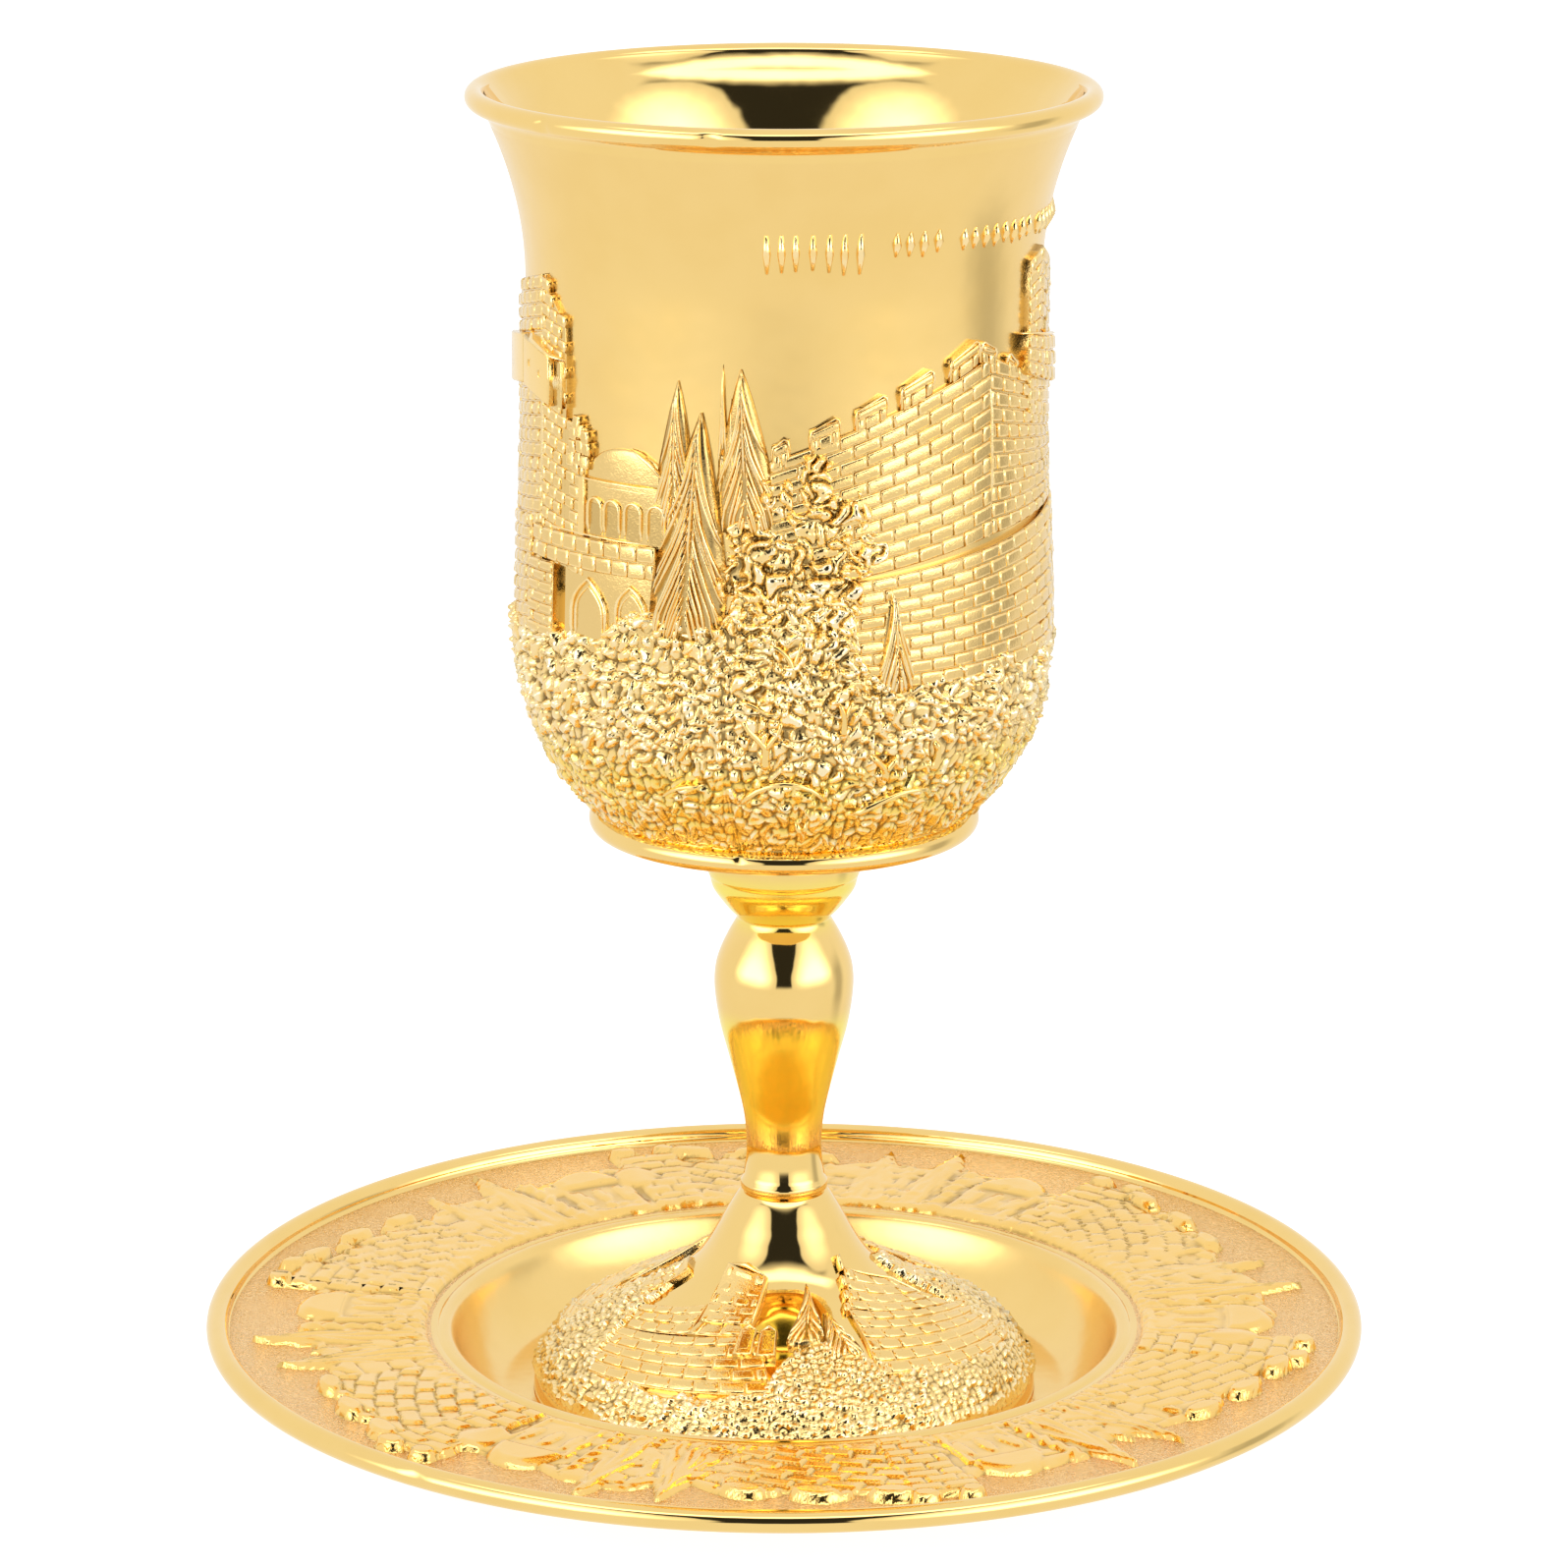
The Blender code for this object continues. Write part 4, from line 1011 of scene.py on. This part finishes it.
def saucerLift(turn, climb):
    # x and y are in mm within a stretch, around in mm all the way round
    rim = saucerRim
    wide = 360 / rim["stretches"]
    circle = 2 * math.pi * rim["middle"]
    stretch = np.floor((turn - rim["start"]) / wide)
    own = np.mod(stretch, rim["stretches"])
    around = turn * rim["middle"] * math.pi / 180
    warp = 0.5 * (waves(around, climb, circle / 180, 180, 3) - 0.5)
    x = (turn - rim["start"] - stretch * wide - 22) * rim["middle"] * math.pi / 180 + 1.2 * warp
    y = climb + 0.6 * warp
    lift = np.full(turn.shape, rim["sunk"])

    def lay(form, high, low=rim["sunk"]):  # a form from 0 to 1 over what is there
        np.maximum(lift, np.where(form > 0, low + (high - low) * form, rim["sunk"]), out=lift)

    def box(x0, y0, x1, y1):
        return inQuad(x, y, [(x0, y0), (x1, y0), (x1, y1), (x0, y1)])

    # plates of rock and low houses between the buildings
    top = 61.5 + 5.0 * (waves(around, climb * 0, circle / 60, 60, 5) - 0.5)
    count = round(circle / rim["plate"])
    near, after, plate = lumps(around + 2.2 * warp, climb * 1.2, circle / count, count, 2)
    crease = np.clip((after - near) / 0.1, 0, 1)
    body = rounded(np.minimum(top - climb, climb - 45.6), 1.4)
    lay(body, 0.3 + 0.34 * plate * crease + 0.12 * crease * (1 - near))

    # a wall in slanting courses with lumps of merlon on it
    wall = upright(-15, 6.4, 46.4, 46.4, 60.5, 63.5)
    slant = math.radians(rim["slant"])
    xr = x * math.cos(slant) + y * math.sin(slant)
    yr = y * math.cos(slant) - x * math.sin(slant)
    inside, each, along = coursePattern(xr, yr, 4.6, 2.5, 4)
    brick = 0.5 + 0.3 * rounded(inside - 0.08, 0.4) + 0.16 * (each - 0.5) + 0.3 * (along - 0.5)
    lay(rounded(inQuad(x, y, wall), 0.5), brick)
    for k, (mx, my) in enumerate(((-12.4, 62), (-4.6, 63.4), (3.4, 64.6))):
        lay(egg(x, y, (mx, my), (2.8, 1.6), 0.25), 1.3 + 0.12 * k)
        lay(egg(x, y, (mx + 3, my - 0.2), (1.3, 1), -0.3), 0.85)

    # a tower of smaller bricks
    inside, each, along = coursePattern(x + 0.15 * y, y, 3.9, 2.4, 7)
    brick = 0.65 + 0.35 * rounded(inside - 0.1, 0.4) + 0.25 * (each - 0.5)
    lay(rounded(box(5.2, 45.8, 13.1, 65.6), 0.5), brick)
    for mx in (6.6, 11.4):
        lay(egg(x, y, (mx, 66.4), (1.7, 1.6)), 1.4)

    # a block of a house with three windows and a dome over it
    border = box(14.3, 46.1, 24.9, 57.4)
    lay(rounded(border, 0.5), 0.8 - 0.2 * rounded(border - 1.1, 0.4))
    for mx in (16.3, 19.6, 22.9):
        lay(egg(x, y, (mx, 52.4), (1, 3.1)), 0.85, 0.2)
    lay(egg(x, y, (19.6, 57), (4.9, 5.6)) * (y > 56.9), 1.1)

    # a twisted column, long cypresses and, in every other stretch, a fan of branches
    twist = 0.5 + 0.5 * np.cos(2 * math.pi * (y / 2.6 + (x - 27) / 3.2))
    lay(rounded(box(25.6, 46.2, 28.4, 62), 1.4), 0.75 + 0.3 * twist)
    for foot, tip, half, strands, high in (
            ((31.2, 46.9), (30.4, 68), 3.4, 2, 1), ((37.4, 46.3), (38.6, 64.9), 3, 2, 0.9),
            ((-19.6, 46.3), (-21, 66.2), 2.9, 2, 0.9), ((34.4, 50), (35.4, 61.5), 1.7, 1, 0.8)):
        lay(leaf(x, y, foot, tip, half, strands), high)
    fan = np.hypot((x - 12.5) / 3.4, (y - 57) / 4.2) + 10 * (y < 51.5)
    ribs = 0.5 + 0.5 * np.cos(9 * np.arctan2(x - 12.5, y - 50.5))
    lay(rounded(1 - fan, 0.4) * (own % 2 > 0), 1.0 + 0.2 * ribs)

    # bushes along the lip
    count = round(circle / rim["bush"])
    bush = nuggets(around + warp, climb + warp, circle / count, count, 8, gap=0.4, uneven=0.7)
    hem = 47.4 + 5.5 * waves(around, climb * 0, circle / 38, 38, 6)
    lay(rounded(np.minimum(hem - climb, climb - 45.5), 0.8), 0.4 + 0.5 * bush)
    return np.minimum(lift, rim["sunk"] + 3 * np.clip((climb - 45.2) / 0.8, 0, 1))


def saucerRelief():
    for name, turns, cell in (("saucerRelief", (-101, 101, 0.29), 0.28),
                              ("saucerReliefBack", (100.5, 259.5, 0.52), 0.5)):
        climbs = [(saucerRim["low"], saucerRim["high"], cell)]
        spread(name, saucerGround, turns, climbs, saucerLift, 0.16, reliefGold)


# the foot: brick walls, leaning towers and cypresses over a band of bushes

footCurve = np.array(footOutside)
footGround = Ground(foot["spread"] - footCurve[:, 0], footCurve[:, 0], footCurve[:, 1])
footBricks = {"joint": 0.22, "edge": 0.3, "base": 0.2, "deep": 0}
footBushes = {"radius": 27, "size": 0.95, "base": 0.55, "grain": 0.75, "swell": 0.35, "sunk": 0.4}


def footBushTop(turn):
    keys = [(-90, 20.8), (-78, 20), (-72, 16), (-66, 10.6), (-60, 5.2), (-54, 3.8), (-22, 4.4), (-6, 5.6),
            (-2, 9.4), (5, 12), (16, 12.2), (24, 10.2), (28, 8.4), (33, 7), (45, 6.3), (70, 5), (80, 6.4),
            (85, 12.5), (90, 20.8)]
    return np.interp(np.mod(np.asarray(turn) + 90, 180) - 90, *zip(*keys))


def footBushLift(turn, climb):
    bush = footBushes
    x = turn * bush["radius"] * math.pi / 180
    circle = 2 * math.pi * bush["radius"]
    count = round(circle / bush["size"])
    y = np.interp(climb, (0, 1.4, 3.8, 7.4, 12, 22), (0, 3.8, 8, 12.4, 17.6, 28.6))
    bend = 0.7 * (waves(x, y, circle / 110, 110) - 0.5)
    grain = nuggets(x + bend, y + bend, circle / count, count, 11, gap=0.6, uneven=0.6)
    swell = waves(x, y, circle / 50, 50, 12)
    top = footBushTop(turn)
    hem = rounded(top + 1.1 * (waves(x, y * 0, circle / 70, 70, 2) - 0.5) - climb, 0.6)
    thick = bush["base"] * np.where(top > 14, 1.15, 1) + bush["grain"] * grain + bush["swell"] * swell
    return thick * hem * np.clip((climb - 0.1) / 0.5, 0, 1) - bush["sunk"]


def footStretch(relief, shift):
    # half of the foot's town, turned by shift degrees
    def at(*corners):
        return [(turn + shift, climb) for turn, climb in corners]

    def wall(courses, length, lift, seed, *corners):
        walledFace(relief, at(*corners), courses, length, lift, seed, work=footBricks)
        return at(*corners)

    def between(start, end, raised=0):
        return (start[0] + end[0]) / 2, (start[1] + end[1]) / 2 + raised

    # a level wall with a leaning tower over it and two windows beside it
    wall(5, 3.1, 0.85, 2, (-58, 3.4), (-3, 5), (-9, 13.4), (-62.5, 9.4))
    wall(1, 2.6, 1, 3, (-36, 11.6), (-10, 13), (-13, 15), (-35, 14.4))
    wall(3, 2.7, 0.8, 6, (-61, 9.6), (-35.5, 11.7), (-38.5, 17), (-68, 13.2))
    a, b, c, d = wall(5, 2.3, 1.35, 5, (-34.5, 13.6), (-14, 14.4), (-11, 21.2), (-39.5, 21.9))
    relief.ridge([d, between(c, d, 0.4), c], 0.7, 1.6)
    for high, low in ((d, a), (c, b)):
        relief.ridge([high, between(high, low), low], 0.4, 1.45)
    for m in (-13.4, -5.8):
        relief.slab(at((m - 3, 9.6), (m + 3, 9.8), (m + 3.3, 13.6), (m - 3.3, 13.6)), 1.25, 0.25)
        pane = at((m - 1.5, 10.4), (m + 1.5, 10.5), (m + 1.6, 12.6), (m - 1.6, 12.6))
        # painted shade in the window pane
        relief.slab(pane, 1.3, 0.05, deep=0.9)
        relief.ridge(at((m - 3.4, 13.9), (m, 14.1), (m + 3.4, 13.8)), 0.5, 1.55)

    # a wall that falls away to the right below its tower
    wall(6, 3.1, 0.8, 1, (27.5, 6.4), (88, 3.4), (91, 9.6), (31, 16.8))
    a, b, c, d = wall(4, 2.6, 0.85, 4, (32, 16.7), (80, 10.8), (72, 18.2), (43, 21.6))
    relief.ridge([d, between(c, d, 0.2), c, b], 0.3, 0.95)
    for k in range(4):  # blocks up its left edge
        turn = a[0] + (d[0] - a[0]) * k / 3
        climb = a[1] + (d[1] - a[1]) * k / 3
        relief.slab([(turn - 3.4, climb - 0.3), (turn + 0.6, climb - 0.3), (turn + 1.4, climb + 0.9),
                     (turn - 2.2, climb + 0.9)], 0.85, 0.25)
    wall(4, 2.6, 0.95, 7, (-92, 14.4), (-76.5, 13.6), (-72, 19.6), (-87, 20.4))


def footRelief():
    relief = Carving("footTown", footGround, deepest=0.35)
    trees = Carving("footCypresses", footGround)
    for shift in (0, 180):
        footStretch(relief, shift)
        cypressOf(trees, (7.2 + shift, 11.6), (14.0 + shift, 20.7), 1.95, 1.8, 5, 0, 0.5)
        cypressOf(trees, (20.6 + shift, 9.2), (18.5 + shift, 16.8), 2, 1.7, 5, 1, 0.5)
    relief.finish()
    trees.finish(smooth=True)
    spread("footBushes", footGround, (-96, 96, 0.5), [(0, 22, 0.17)], footBushLift)
    spread("footBushesBack", footGround, (95.5, 264.5, 1), [(0, 22, 0.3)], footBushLift)


saucerRelief()
footRelief()
print("stage: saucer and foot relief")


# studio: white floor, a white surround with two soft boxes, the dark gap between them and a strip above

studio = {  # turns and climbs of the light are in degrees, from behind the camera and from level
    "focal": 134.81, "distance": 707.5, "height": 267, "pitch": 14.76, "filmWidth": 36, "farEnd": 20,
    "surround": 1.22, "gap": 0.03, "boxes": 3.1, "strip": 2.4, "shade": 0.6,
    "boxSide": 53, "boxHalf": 40, "boxClimb": 6, "boxTall": 39, "boxEdge": (0.3, 1), "horizon": (-9, 9),
    "gapSide": (60, 78), "gapClimb": (-3, 46, 3), "gapEdge": (0.98, 1.06),
    "shadeSide": (92, 112, 8), "shadeClimb": (-26, 10, 8), "stripClimb": (50, 60, 3), "stripSide": (70, 100),
    "floorReach": 4, "floorHeight": -0.0003, "paper": (0.5, 0.5, 0.5, 1), "paperGlow": 0.85,
}


def makeLight(world):
    start = clearTree(world)
    towards = start.node("ShaderNodeTexCoord")
    split = start.node("ShaderNodeSeparateXYZ", {}, {"Vector": towards})
    x, y, z = (Shade(start.tree, axis) for axis in split.socket.node.outputs)
    turn = start.math("ARCTAN2", x, 0 - y) * (180 / math.pi)
    side = start.math("ABSOLUTE", turn)
    climb = start.math("ARCSINE", z) * (180 / math.pi)
    across = (side - studio["boxSide"]) * (1 / studio["boxHalf"])
    upward = (climb - studio["boxClimb"]) * (1 / studio["boxTall"])
    roundness = start.math("SQRT", across * across + upward * upward)
    boxes = (1 - roundness.rise(*studio["boxEdge"])) * climb.rise(*studio["horizon"])
    shade = side.within(*studio["shadeSide"]) * climb.within(*studio["shadeClimb"]) * turn.rise(0, 1)
    gap = (1 - side.rise(*studio["gapSide"])) * climb.within(*studio["gapClimb"])
    gap = gap * roundness.rise(*studio["gapEdge"])
    strip = climb.within(*studio["stripClimb"]) * (1 - side.rise(*studio["stripSide"]))
    light = studio["surround"] + studio["boxes"] * boxes + studio["strip"] * strip
    light = light * (1 - (1 - studio["shade"]) * shade)
    light = light * (1 - (1 - studio["gap"]) * gap)
    seen = start.node("ShaderNodeLightPath")  # plain white where the background itself is seen
    back = start.node("ShaderNodeBackground", {}, {"Strength": light + (1 - light) * seen})
    start.node("ShaderNodeOutputWorld", {}, {"Surface": back})


def makeStudio():
    scene = bpy.context.scene
    scene.view_settings.view_transform = "Standard"
    scene.world = bpy.data.worlds.new("softTent")
    makeLight(scene.world)

    mesh = bpy.data.meshes.new("floor")
    reach = studio["floorReach"]
    corners = [(-reach, -reach), (reach, -reach), (reach, reach), (-reach, reach)]
    mesh.from_pydata([(x, y, studio["floorHeight"]) for x, y in corners], [], [(0, 1, 2, 3)])
    floor = bpy.data.objects.new("floor", mesh)
    scene.collection.objects.link(floor)
    paper = bpy.data.materials.new("paper")
    start = clearTree(paper)
    coat = start.node("ShaderNodeBsdfPrincipled", {}, {
        "Base Color": studio["paper"], "Roughness": 1, "Specular IOR Level": 0,
        "Emission Color": (1, 1, 1, 1), "Emission Strength": studio["paperGlow"]})
    start.node("ShaderNodeOutputMaterial", {}, {"Surface": coat})
    mesh.materials.append(paper)
    floor.visible_glossy = False

    lens = bpy.data.cameras.new("camera")
    lens.lens = studio["focal"]
    lens.sensor_width = studio["filmWidth"]
    lens.clip_end = studio["farEnd"]
    camera = bpy.data.objects.new("camera", lens)
    scene.collection.objects.link(camera)
    camera.location = (0, -studio["distance"] * mm, studio["height"] * mm)
    camera.rotation_mode = "YXZ"
    camera.rotation_euler = (math.radians(90 - studio["pitch"]), 0, 0)
    scene.camera = camera


makeStudio()
print("stage: studio")
